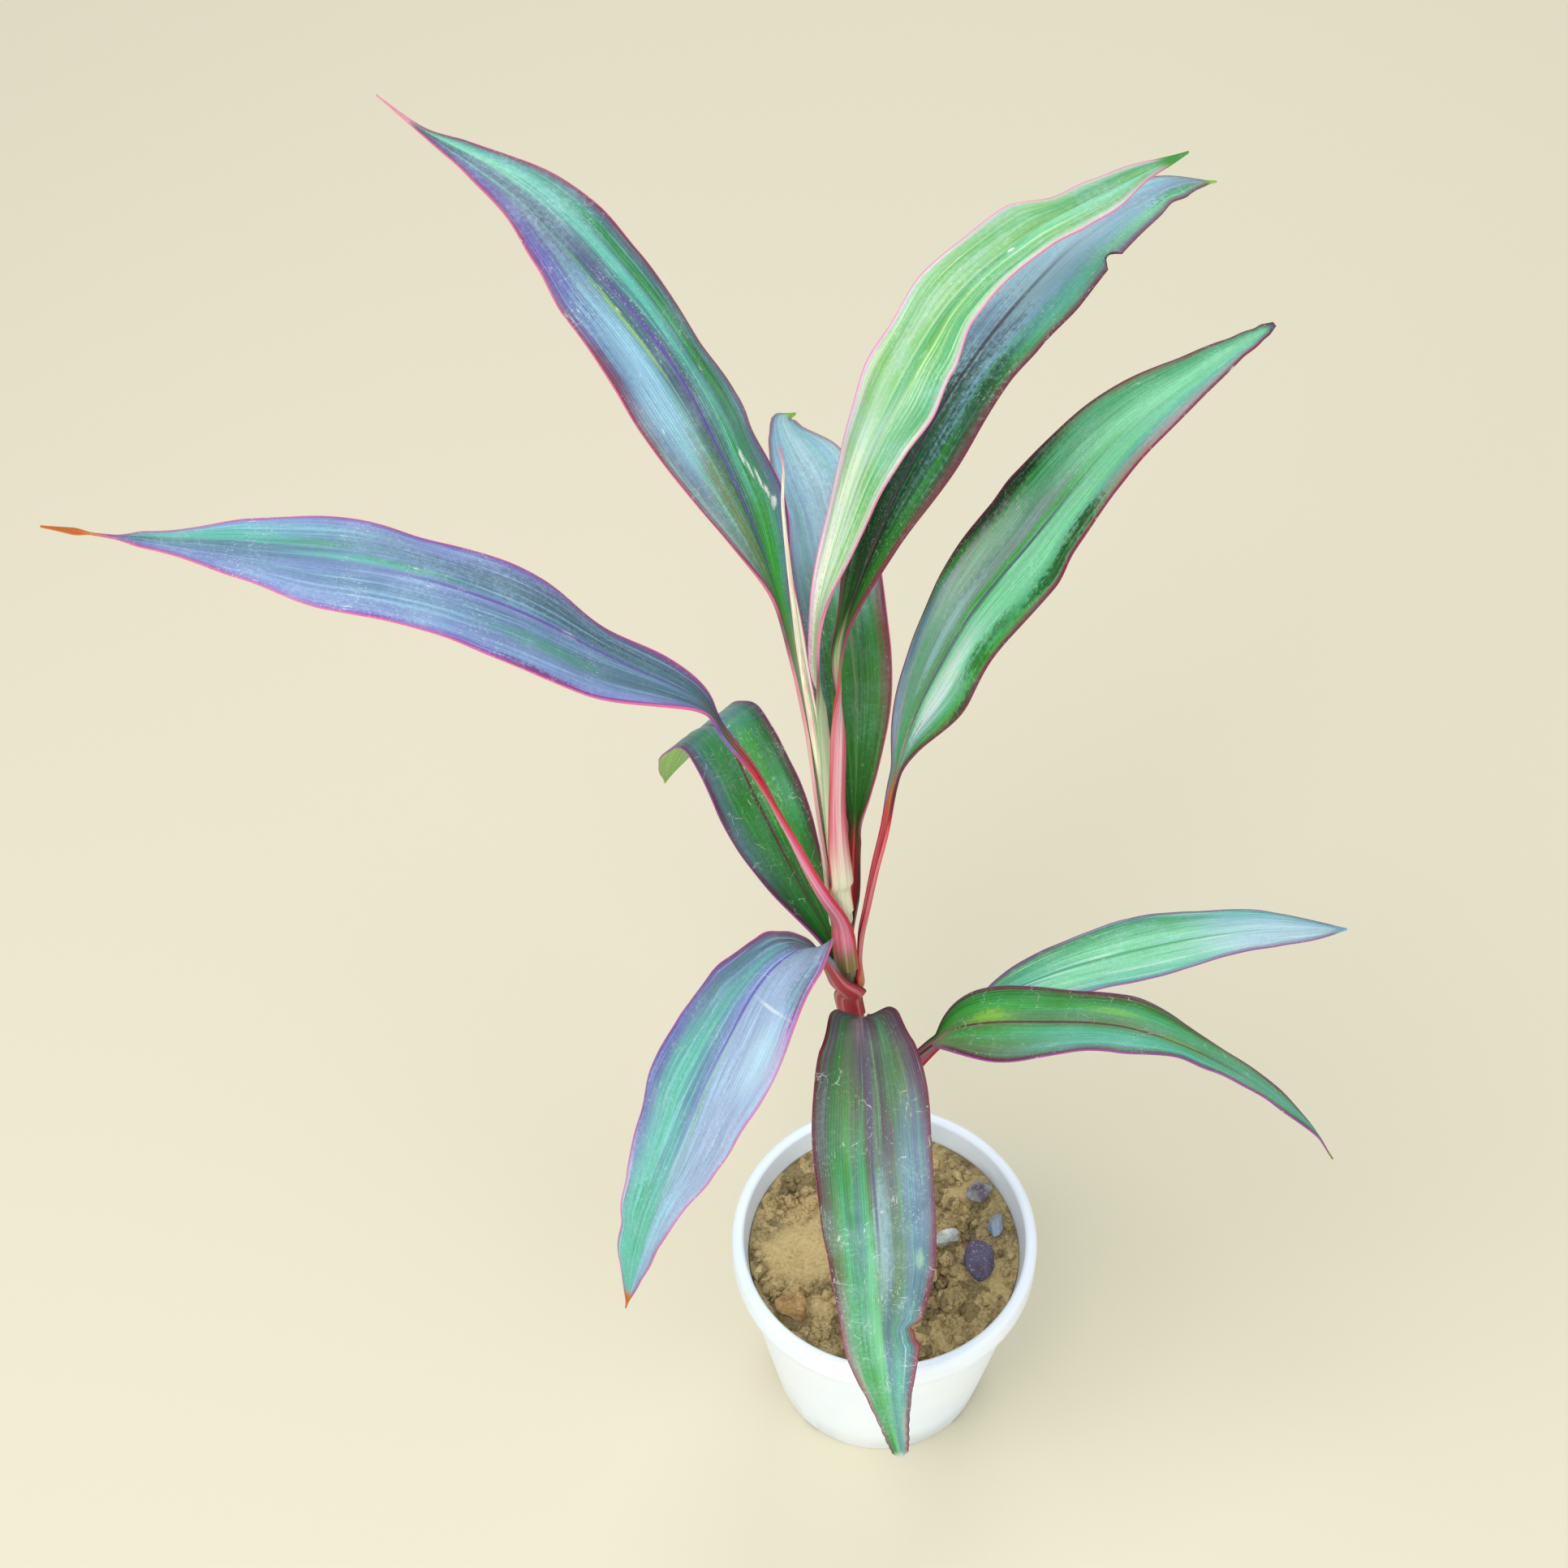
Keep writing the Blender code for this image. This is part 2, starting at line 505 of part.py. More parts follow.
def blade_outline(part, leaf):
    """Share of the blade's half width at each part of its length."""
    part = np.clip(part, 0, 1)
    rise = np.sin(pi / 2 * np.clip(part / leaf.belly, 0, 1) ** leaf.base)
    fall = np.cos(pi / 2 * np.clip((part - leaf.belly) / (1 - leaf.belly), 0, 1) ** 1.25)
    return np.where(part < leaf.belly, rise, np.maximum(fall, 0) ** leaf.point)


def edge_shares(part, leaf):
    """How far out the left and right edges run, as shares of the outline, along the blade."""
    at, *shares = np.transpose(leaf.edges)
    before = np.clip(np.searchsorted(at, part, side="right") - 1, 0, len(at) - 2)
    between = ease(at[before], at[before + 1], part)
    on_blade = ease(-FOOT_BLEND, 0, part)
    return [1 + (row[before] + (row[before + 1] - row[before]) * between - 1) * on_blade
            for row in shares]


def leaf_frames(leaf, middle, run, length):
    """Crossways and upward directions along a leaf, turned by its rolls."""
    hug, start = (leaf.leaves - leaf.node) * MM, leaf.petiole * MM
    tangent = np.gradient(middle, axis=0)
    tangent /= np.linalg.norm(tangent, axis=1)[:, None]
    turn = ease(hug + leaf.twist * (start - hug), max(start, hug + 20 * MM), run)
    azimuth = np.radians(leaf.seat + (leaf.heading - leaf.seat) * turn)
    level = np.stack([np.sin(azimuth), -np.cos(azimuth), 0 * run], 1)
    level -= tangent * (level * tangent).sum(1)[:, None]
    level /= np.linalg.norm(level, axis=1)[:, None]
    roll = np.radians(np.interp(run / length, np.linspace(0, 1, len(leaf.rolls)), leaf.rolls))
    roll = roll[:, None]
    crossways = level * np.cos(roll) + np.cross(level, tangent) * np.sin(roll)
    return crossways, np.cross(crossways, tangent)


def leaf_section(leaf, run, length):
    """Half width and arc of a leaf's cross-section along its length."""
    hug, start = (leaf.leaves - leaf.node) * MM, leaf.petiole * MM
    reach = length - start
    clasp, sheath = radians(leaf.clasp), leaf.sheath * MM
    seat = seat_radius(leaf, leaf.node * MM)
    arc = clasp + (leaf.stalk * MM / seat - clasp) * ease(0.3 * sheath, sheath, run)
    stalk = seat * arc * (1 - ease(start, start + 0.8 * reach, run))
    arc = arc + (1 - arc) * ease(hug, hug + 20 * MM, run)
    part = (run - start) / reach
    cup = np.interp(np.clip(part, 0, 1), np.linspace(0, 1, len(leaf.cups)), leaf.cups)
    arc = arc + (cup - arc) * ease(start - 6 * MM, start + 0.22 * reach, run)
    blade = np.where(part > 0, leaf.width / 2 * MM * blade_outline(part, leaf), 0)
    return np.cbrt(stalk ** 3 + blade ** 3) + MARGIN, arc


def leaf_sheet(leaf):
    """A leaf's middle sheet as a grid of points, with the skin's half thickness at each."""
    middle, length = smooth_path(leaf_points(leaf), STATIONS + 1)
    run = np.linspace(0, length, STATIONS + 1)
    start = leaf.petiole * MM
    reach = length - start
    part = (run - start) / reach
    crossways, upward = leaf_frames(leaf, middle, run, length)
    half, arc = leaf_section(leaf, run, length)
    side = np.linspace(-1, 1, ACROSS + 1)
    bend = arc[:, None] * side
    aside = half[:, None] * side * np.sinc(bend / pi)
    lift = half[:, None] * side * bend / 2 * np.sinc(bend / 2 / pi) ** 2
    ripple = WAVE * ease(start, start + 0.3 * reach, run) * (1 - ease(0.8 * length, length, run))
    for edge in (-1, 1):
        swing = np.sin(2 * pi * WAVES * np.clip(part, 0, 1) + edge * SIDE_LAG)
        lift += (ripple * swing)[:, None] * np.clip(edge * side, 0, 1) ** 2
    left, right = edge_shares(part, leaf)
    aside *= np.where(side < 0, left[:, None], right[:, None])
    foot = np.where(part > 0, 1 - ease(0, LOBE_END, part), 0)
    back = leaf.lobe * MM * (aside / (leaf.width / 2 * MM)) ** 2 * foot[:, None]
    forward = np.cross(upward, crossways)
    grid = middle[:, None] + crossways[:, None] * aside[..., None]
    grid += upward[:, None] * lift[..., None] - forward[:, None] * back[..., None]
    skin = STALK_SKIN + (BLADE_SKIN - STALK_SKIN) * ease(start, start + 0.3 * reach, run)
    normal = np.cross(np.gradient(grid, axis=1), np.gradient(grid, axis=0))
    normal /= np.linalg.norm(normal, axis=2)[..., None]
    return grid, normal * skin[:, None, None] / 2


def make_leaf(name):
    """Sheath, stalk and blade in one body, split into triangles alike on both faces."""
    grid, offset = leaf_sheet(LEAVES[name])
    body = bmesh.new()
    bmesh.ops.create_grid(body, x_segments=ACROSS, y_segments=STATIONS, size=0.5)
    through = body.verts.layers.float_vector.new("through")
    for vert in body.verts:
        station = round((vert.co.y + 0.5) * STATIONS)
        place = round((vert.co.x + 0.5) * ACROSS)
        vert[through] = -2 * offset[station, place]
        vert.co = grid[station, place] + offset[station, place]
    bmesh.ops.triangulate(body, faces=body.faces[:], quad_method="FIXED")
    grown = bmesh.ops.extrude_face_region(body, geom=body.faces[:])["geom"]
    for vert in (item for item in grown if isinstance(item, bmesh.types.BMVert)):
        vert.co += vert[through]
    return to_object(name, body, sharp_angle=70)


def main():
    """Build the pot, what fills it, the shoot and its leaves."""
    clear_scene()
    make_pot()
    make_soil()
    for name, seat in zip(STONES, stone_seats()):
        make_stone(name, seat)
    make_cane()
    make_spear()
    for name in LEAVES:
        make_leaf(name)


main()
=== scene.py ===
"""Looks of a potted rosea dracaena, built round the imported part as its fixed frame.

Metres, +Z up. The shoot leans towards -X, and the camera stands on the -Y side, looking down.
Leaf tables are in millimetres and degrees, and are turned into metres where they are read.
"""
from math import pi, radians
from typing import NamedTuple

import bmesh
import bpy
import numpy as np
from bpy.props import FloatProperty, FloatVectorProperty, IntProperty, PointerProperty
from mathutils import Euler, Matrix, Vector, noise


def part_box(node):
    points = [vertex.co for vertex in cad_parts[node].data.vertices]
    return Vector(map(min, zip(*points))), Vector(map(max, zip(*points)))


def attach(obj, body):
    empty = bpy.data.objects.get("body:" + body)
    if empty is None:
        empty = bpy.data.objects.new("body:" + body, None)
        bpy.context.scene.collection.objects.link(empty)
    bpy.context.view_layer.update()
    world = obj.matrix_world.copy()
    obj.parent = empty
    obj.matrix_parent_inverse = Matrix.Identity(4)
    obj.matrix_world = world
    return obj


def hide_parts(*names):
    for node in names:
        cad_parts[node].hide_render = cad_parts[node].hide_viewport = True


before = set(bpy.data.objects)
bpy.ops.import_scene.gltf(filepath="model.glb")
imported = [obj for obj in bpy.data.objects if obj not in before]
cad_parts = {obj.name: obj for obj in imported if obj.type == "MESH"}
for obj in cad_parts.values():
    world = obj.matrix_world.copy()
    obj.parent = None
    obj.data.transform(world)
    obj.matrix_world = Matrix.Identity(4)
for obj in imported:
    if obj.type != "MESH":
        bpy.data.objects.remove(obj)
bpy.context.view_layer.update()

bl_info = {
    "name": "Rosea Dracaena in a Nursery Pot",
    "version": (1, 0, 0),
    "blender": (4, 5, 0),
    "location": "3D View > Sidebar > Dracaena",
    "description": "Pot, soil, stones, cane, rolled young leaf and striped leaves of one plant",
    "category": "Add Mesh",
}

MM = 0.001
CLEAR = 0.3 * MM
RIM_RADIUS, _, POT_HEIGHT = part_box("pot")[1]

# Pot
COLLAR_HEIGHT = 14 * MM
COLLAR_STEP = 3.1 * MM
BASE_RADIUS = 44.5 * MM
MOUTH_RADIUS = 57.6 * MM
FLOOR = 2.2 * MM
WALL = 2.0 * MM
POT_STEPS = 200
DRAIN_RADIUS = 4 * MM
DRAIN_CIRCLE = 29 * MM
DRAINS = 6
FOOT_NOTCHES = 4
FOOT_NOTCH = (9 * MM, 7 * MM, 2.4 * MM)
# Chips in the rim: direction in degrees, and width and depth in millimetres
RIM_CHIPS = ((231, 7, 1.3), (236, 4, 0.8), (286, 5, 1.0), (291, 3, 0.6), (40, 4, 0.5))

# Soil
SOIL_LEVEL = 95 * MM
SOIL_EDGE_RADIUS = 55.6 * MM
SOIL_RINGS = 64
SOIL_SIDES = 192
CRUMB_HEIGHT = 1.6 * MM
# Loose crumbs: distance from the pot's wall and from the shoot's axis, and size of their heaps
CRUMBS_OFF_WALL = 2.5 * MM
CRUMBS_OFF_AXIS = 5.5 * MM
HEAP_SPAN = 14 * MM
# Middle (x, y) and radius of the smooth hollow that pouring left
SMOOTH_PATCH = (-33 * MM, -2 * MM, 15 * MM)

# Cane and rolled young leaf
LEAN = 0.0857
LEAN_FROM = 90 * MM
CANE_FOOT = 55 * MM
CANE_TOP = 331 * MM
CANE_SIDES = 40
CANE_TAPER = ((90, 4.6), (200, 4.2), (331, 3.9))
SCARS_END = 184 * MM
SCAR_SPACING = 12.5 * MM
SCAR_HEIGHT = 0.35 * MM
SPEAR_TIP = 573 * MM
SPEAR_SIDES = 36
SPEAR_RINGS = 120
SPEAR_TAPER = ((331, 2.1), (440, 1.6), (484, 1.05), (520, 0.75), (550, 0.55), (573, 0.3))
# Points of the rolled leaf: height, and distance from the shoot's axis along X and Y
SPEAR_BEND = ((331.3, 0, 0), (400, -0.3, 0.5), (440, -1.4, 1.5), (480, -2.8, 3.0),
              (516, -2.9, 3.2), (550, -2.2, 3.0), (564, -0.8, 3.0), (573, -1.1, 3.0))

# Leaves
COLUMN_TAPER = ((90, 4.6), (200, 4.2), (320, 4.0), (440, 3.4))
SHEATH_GAP = 0.6 * MM
STALK_SKIN = 1.0 * MM
MARGIN = 0.25 * MM
WAVE = 1.0 * MM
WAVES = 3.0
SIDE_LAG = 1.1
FOOT_BLEND = 0.03
LOBE_END = 0.4
PATH_STEPS = 24
# Frills on the waved edges: their height as a share of a wave's, and their count in each wave
FRILL = 0.07
FRILLS = 3.7
FRILL_LAG = 2.0
PLEAT_DEPTH = 0.12 * MM
PLEATS = 7
# Unit of the map that holds distances from a leaf's margin
EDGE_UNIT = 10 * MM
# How much the veins fan out along a blade
VEIN_SPREAD = 0.22


class Leaf(NamedTuple):
    """One leaf, from its sheath to its tip. Directions turn anticlockwise from +X.

    node, leaves    heights where the sheath starts and where the stalk leaves the shoot
    seat, heading   directions of the sheath on the shoot, and of the leaf's growth
    clasp, sheath   half the angle that the sheath takes round the shoot, and its length
    stalk, petiole  half width of the stalk, and the length before the blade opens
    width, belly    width of the blade, and where along it that is
    base, point     fullness of the blade's foot, and slimness of its tip
    route           (out, up, sideways) from the point where the stalk leaves the shoot
    edges           (part of the blade, left share, right share) of the half width
    cups, rolls     arc of the blade's cross-section and roll of the leaf, at even steps
    lobe            how far the blade's foot reaches back at its edges
    twist           share of the stalk that stays turned to the seat's direction
    layer           how much further from the shoot's middle the sheath sits
    nicks           bites out of an edge: (part, left -1 or right 1, part spanned, depth)
    """
    node: float
    leaves: float
    seat: float
    heading: float
    clasp: float
    sheath: float
    stalk: float
    petiole: float
    width: float
    belly: float
    base: float
    point: float
    route: tuple
    edges: tuple = ((0, 1, 1), (1, 1, 1))
    cups: tuple = (0.0, 0.0)
    rolls: tuple = (0.0, 0.0)
    lobe: float = 0.0
    twist: float = 0.0
    layer: float = 0.0
    nicks: tuple = ()


LEAVES = {
    "leaf_far_left": Leaf(
        node=309, leaves=330, seat=273, heading=175, clasp=46, sheath=44, stalk=2.7, petiole=145,
        width=37, belly=0.42, base=0.75, point=1.35, cups=(-0.2, -0.3, 0.0),
        edges=((0, 1, 1), (0.1, 1.15, 0.85), (0.19, 1.18, 0.8), (0.32, 1.05, 1), (0.46, 1, 1),
               (0.6, 1, 1.2), (0.73, 0.72, 1.1), (0.86, 0.43, 0.7), (0.905, 0.15, 0.2),
               (0.93, 0.1, 0.12), (0.96, 0.8, 0.8), (1, 1, 1)),
        route=((1, 15.5, 8), (6, 29.5, 9.5), (11.5, 44, 9.5), (20, 66.5, 7.5), (31, 91, 3.5),
               (41, 107, 1), (48, 122), (76, 142), (108, 164), (144, 177), (190, 181),
               (227, 184), (252, 187))),
    "leaf_upper_left": Leaf(
        node=334, leaves=420, seat=158, heading=142, clasp=74, sheath=90, stalk=2.6, petiole=155,
        width=37, belly=0.42, base=1.1, point=1.6, cups=(-0.5, -0.7, -0.2, 0.0), layer=-1.1,
        edges=((0, 1, 1.5), (0.15, 1, 1.8), (0.29, 1, 1.2), (0.43, 1.1, 0.88), (0.58, 1, 1.03),
               (0.66, 0.86, 1.1), (0.74, 0.75, 1.12), (0.79, 0.76, 1.12), (0.86, 0.62, 1.1),
               (0.93, 0.45, 0.45), (1, 0.6, 0.6)),
        route=((7.8, 23.5), (13.3, 52), (23, 88), (39, 124), (60, 155), (82, 172), (114, 189),
               (155, 193), (172, 197))),
    "leaf_crown_pale": Leaf(
        node=335, leaves=452, seat=337, heading=398, clasp=84, sheath=140, stalk=2.6, petiole=144,
        width=29, belly=0.55, base=1.35, point=1.15, cups=(-0.1, -0.3, -0.2, 0.0), layer=-1.5,
        edges=((0, 1, 1), (0.33, 1, 1), (0.4, 0.94, 1.05), (0.46, 1, 1.1), (0.53, 0.9, 0.9),
               (0.6, 1.02, 0.65), (0.66, 0.98, 0.6), (0.74, 1.05, 0.62), (0.8, 0.66, 0.75),
               (0.86, 0.82, 0.9), (0.93, 1.1, 0.7), (1, 1, 1)),
        route=((-0.5, 29, -0.5), (1, 53), (7, 78), (22, 120), (48, 154), (74, 163), (107, 163),
               (140, 160))),
    "leaf_crown_dark": Leaf(
        node=344, leaves=358, seat=287, heading=406, clasp=46, sheath=80, stalk=2.6, petiole=146,
        width=33, belly=0.45, base=1.0, point=1.35, twist=0.6, nicks=((0.677, 1, 0.03, 3.4),),
        edges=((0, 1, 1), (0.18, 1, 0.8), (0.32, 1, 1), (0.46, 1, 0.85), (0.52, 1, 0.9),
               (0.6, 1, 1.02), (0.8, 1, 1), (0.84, 1, 0.92), (0.88, 1, 1.25), (0.95, 1, 1.4),
               (1, 1, 1)),
        route=((-3.3, 6, -6.2), (-4.6, 26.5, -5.4), (-5.3, 52, -4.7), (-4.8, 82, -4.2),
               (-3.4, 109, -2.6), (-1.5, 129.5, -0.5), (13, 168, -1), (33, 198, -1),
               (61, 220, -1), (100, 232, -1), (143, 226, -1), (169, 211, -1))),
    "leaf_upper_right": Leaf(
        node=295.5, leaves=309, seat=363, heading=388, clasp=55, sheath=14, stalk=2.6, petiole=112,
        width=38, belly=0.42, base=1.0, point=1.15, cups=(0.0, 0.1, 0.4, 0.4),
        edges=((0, 1, 1), (0.1, 1, 1.1), (0.22, 1, 1.2), (0.35, 1, 1), (0.5, 1, 1.03),
               (0.56, 1.08, 0.92), (0.7, 1.1, 1), (0.85, 1.1, 1), (0.93, 1.3, 1.15),
               (0.97, 1.8, 1.7), (0.99, 3.3, 2.6), (1, 4, 2.5)),
        route=((5.2, 14, -2), (6.7, 32.5, -3), (10, 52.5, -2), (13.5, 72.5, -1.5), (16.5, 98, -1),
               (22.5, 126, -0.5), (40, 165), (62, 192), (93, 226), (123, 241), (146, 249))),
    "leaf_back_hooked": Leaf(
        node=302, leaves=318, seat=86, heading=95, clasp=30, sheath=10, stalk=2.5, petiole=70,
        width=30, belly=0.5, base=0.9, point=0.85,
        edges=((0, 1, 0.85), (0.5, 1, 0.85), (0.75, 1.1, 1), (0.88, 1.5, 1.5), (0.95, 1.6, 1),
               (1, 1, 1)),
        route=((7.5, 22, -3), (9.5, 44, -3), (14, 71, -4), (19, 92, -4.5), (26, 113, -4.5),
               (34, 133, -3), (44, 150, -0.5), (56, 164, 2.5), (67, 173, 6), (78, 176, 10.5),
               (84, 178, 13), (88, 179.5, 14), (91, 178.5, 10))),
    "leaf_back_folded": Leaf(
        node=270, leaves=284, seat=126, heading=130, clasp=38, sheath=10, stalk=3.0, petiole=30,
        width=36, belly=0.42, base=1.0, point=1.15,
        edges=((0, 1, 1), (0.3, 0.88, 1), (0.6, 0.88, 1), (0.8, 1, 1.3), (0.92, 1.2, 1.8),
               (1, 1, 1)),
        route=((14, 25), (33, 44), (55, 68), (66, 82), (74, 87), (83, 80), (99, 46), (108, 21))),
    "leaf_drooping_left": Leaf(
        node=279, leaves=291, seat=262, heading=228, clasp=62, sheath=40, stalk=3.0, petiole=58,
        width=43, belly=0.34, base=0.38, point=1.6, cups=(-0.2, -0.4, 0.0, 0.0),
        rolls=(0, -28, -8, 4, 8), lobe=6,
        edges=((0, 0.35, 0.5), (0.06, 0.5, 0.65), (0.14, 0.92, 0.85), (0.27, 1, 1.08),
               (0.37, 1, 1.12), (0.48, 0.92, 1.2), (0.58, 0.84, 1.08), (0.69, 0.74, 1.02),
               (0.79, 0.8, 1.3), (0.895, 1.1, 2.2), (0.96, 1.5, 2.5), (1, 1, 1)),
        route=((4, 2.5, 4.5), (8.5, 12.5, 2.5), (14, 28.5, 2), (21, 48, 2), (29.5, 58.5, 1.5),
               (40.5, 59), (52, 51.5, -1), (62, 39, -1.5), (73, 23, -2), (85.5, 0.5, -2),
               (102, -36.5, -4), (117.5, -86.5, -5))),
    "leaf_drooping_front": Leaf(
        node=236, leaves=244, seat=275, heading=274, clasp=75, sheath=12, stalk=3.0, petiole=62,
        width=43, belly=0.28, base=0.33, point=1.4, cups=(0.4, 0.1, 0.0, 0.0), lobe=10,
        nicks=((0.625, -1, 0.02, 1.2),),
        edges=((0, 1, 1), (0.2, 1, 1), (0.36, 1, 0.95), (0.46, 1, 0.91), (0.57, 0.93, 0.9),
               (0.6, 0.9, 0.92), (0.625, 0.72, 0.94), (0.65, 0.8, 0.97), (0.68, 0.98, 1),
               (0.79, 1, 1.02), (0.85, 1.16, 1.16), (0.89, 1.4, 1.4), (0.92, 1.8, 1.8),
               (0.95, 2.65, 2.65), (0.97, 3.9, 3.9), (0.985, 6.1, 6.1), (1, 4.8, 4.8)),
        route=((8, 22.5), (11.5, 39.5, -1), (16, 51, -1), (22, 53.5, -1), (29, 46.5, -0.5),
               (38, 37), (52, 19), (73, -23, 2), (86, -63, 3), (94, -98, 6), (99, -137, 11))),
    "leaf_right_pale": Leaf(
        node=188, leaves=198, seat=25, heading=12, clasp=65, sheath=10, stalk=2.6, petiole=80,
        width=29, belly=0.45, base=0.9, point=1.15, rolls=(0, 0, 8, 8),
        edges=((0, 1, 1), (0.4, 1, 1), (0.6, 1, 0.86), (0.8, 1, 0.9), (1, 1.4, 1.4)),
        route=((10, 14), (22, 38), (34, 56), (46, 70), (69, 81), (105, 87), (142, 86), (183, 75))),
    "leaf_right_low": Leaf(
        node=212, leaves=220, seat=335, heading=343, clasp=65, sheath=8, stalk=2.6, petiole=60,
        width=36, belly=0.26, base=0.7, point=1.5, cups=(-0.2, 0.0, 0.0), rolls=(0, 0, 25, 35),
        edges=((0, 1, 1), (0.3, 1, 1), (0.45, 1, 0.85), (0.56, 0.95, 0.5), (0.62, 0.95, 0.65),
               (0.7, 1, 0.85), (1, 1, 1)),
        route=((10, 9), (26, 45), (37, 62), (63, 77), (97, 88), (133, 79), (165, 55), (176, 37))),
}

# Stones: middle (x, y), half sizes and turn about +Z, in millimetres and degrees
STONES = {
    "stone_pale": ((25.5, 5.0), (5.2, 3.6, 2.6), 20),
    "stone_dark": ((39.5, -6.5), (5.6, 8.4, 5.0), 12),
    "stone_flake": ((46.5, 11.0), (3.2, 5.2, 3.4), -8),
    "stone_lump": ((39.5, 26.0), (6.0, 4.2, 4.0), 40),
    "stone_clod": ((-37.5, -27.0), (7.0, 5.2, 4.2), -25),
}
STONE_SEAT_MARGIN = 3.5 * MM
STONE_SEAT_SLOPE = 0.5
STONE_CUTS = 14

# Each stone's light and dark tones, and how softly they meet
STONE_TONES = {
    "stone_pale": ("pearl", "grey", 0.2), "stone_dark": ("dusk", "plum", 0.15),
    "stone_flake": ("haze", "grey", 0.15), "stone_lump": ("grey", "plum", 0.15),
    "stone_clod": ("sand", "brown", 0.3),
}

# Lamps: place, share of the key lamp's power, and size
LAMPS = {
    "key": ((-0.7, -0.5, 1.9), 1.0, 1.2),
    "fill": ((1.3, -0.9, 1.1), 0.3, 1.2),
    "front": ((-0.3, -1.6, 0.5), 0.5, 1.0),
    "back": ((0.3, 1.4, 1.5), 0.4, 1.0),
}
LAMP_AIM = (-0.05, 0.0, 0.3)
FLOOR_REACH = 40.0

# Colours as screen red, green and blue from 0 to 255
# On the leaves, the pale blue and lavender tones (lavender, haze, sky and ice) are partly the leaves'
# own tint and partly painted sky reflection
TONES = {
    "maroon": (120, 36, 68), "wine": (86, 22, 40), "crimson": (208, 40, 62), "rose": (226, 104, 146),
    "pink": (230, 150, 166), "blush": (236, 200, 198), "lilac": (220, 178, 210),
    "violet": (98, 76, 158), "plum": (92, 72, 94), "magenta": (154, 66, 150),
    "lavender": (120, 136, 184), "haze": (146, 166, 194), "sky": (140, 186, 206),
    "ice": (180, 214, 224), "steel": (98, 130, 158), "slate": (76, 108, 120),
    "dusk": (88, 86, 116), "ash": (132, 152, 146), "teal": (94, 182, 160), "mint": (128, 212, 158),
    "jade": (70, 160, 104), "green": (56, 154, 46), "leaf": (28, 114, 22), "deep": (12, 80, 4),
    "night": (5, 34, 8), "moss": (92, 122, 78), "olive": (104, 118, 42), "lime": (150, 206, 60),
    "apple": (112, 178, 92),
    "pale": (162, 204, 150), "cream": (228, 238, 196), "pearl": (230, 236, 228),
    "ochre": (206, 112, 46), "sand": (196, 158, 96), "rust": (172, 62, 34),
    "brown": (104, 60, 42), "grey": (150, 152, 150), "milk": (234, 252, 210),
}


class Look(NamedTuple):
    """Colours of one leaf. Each band runs from its left-hand edge, 0, to its right-hand edge, 1,
    as seen by someone who walks out along its upper side. It names its first colour, then where
    each further one stands, and its last colour.

    foot, middle, end   bands across the blade in its three thirds
    outer, channel      band over the stalk's outer side, and the stalk's inner side
    throat              the stalk's inner side close to the blade
    collar, sheath      length of the sheath's own colour, and that colour
    hem                 the sheath's thin rims and the lines that run up the stalk
    under, vein, rib    the underside, the streaks along the veins (painted sheen lines where pale), and the midrib
    rim, edge, tip      the thin line round the blade, the wider tint inside it, and the dry tip
    rib_end, tip_from   where along the blade the midrib fades out, and where the dry tip starts
    edge_width          width of the edge's tint
    haze, dust, scuff   strength of the painted sheen, of dust and of web-like scratches
    spots               strength of the yellow spots
    marks               patches: (part, across, reach along, reach across, colour, strength)
    """
    foot: str
    middle: str
    end: str
    outer: str
    channel: str
    throat: str
    collar: float
    sheath: str
    hem: str
    under: str
    vein: str
    rib: str
    rim: str
    edge: str
    tip: str
    rib_end: float = 0.8
    tip_from: float = 0.965
    edge_width: float = 2.2
    haze: float = 0.25
    dust: float = 0.5
    scuff: float = 0.2
    spots: float = 0.1
    marks: tuple = ()
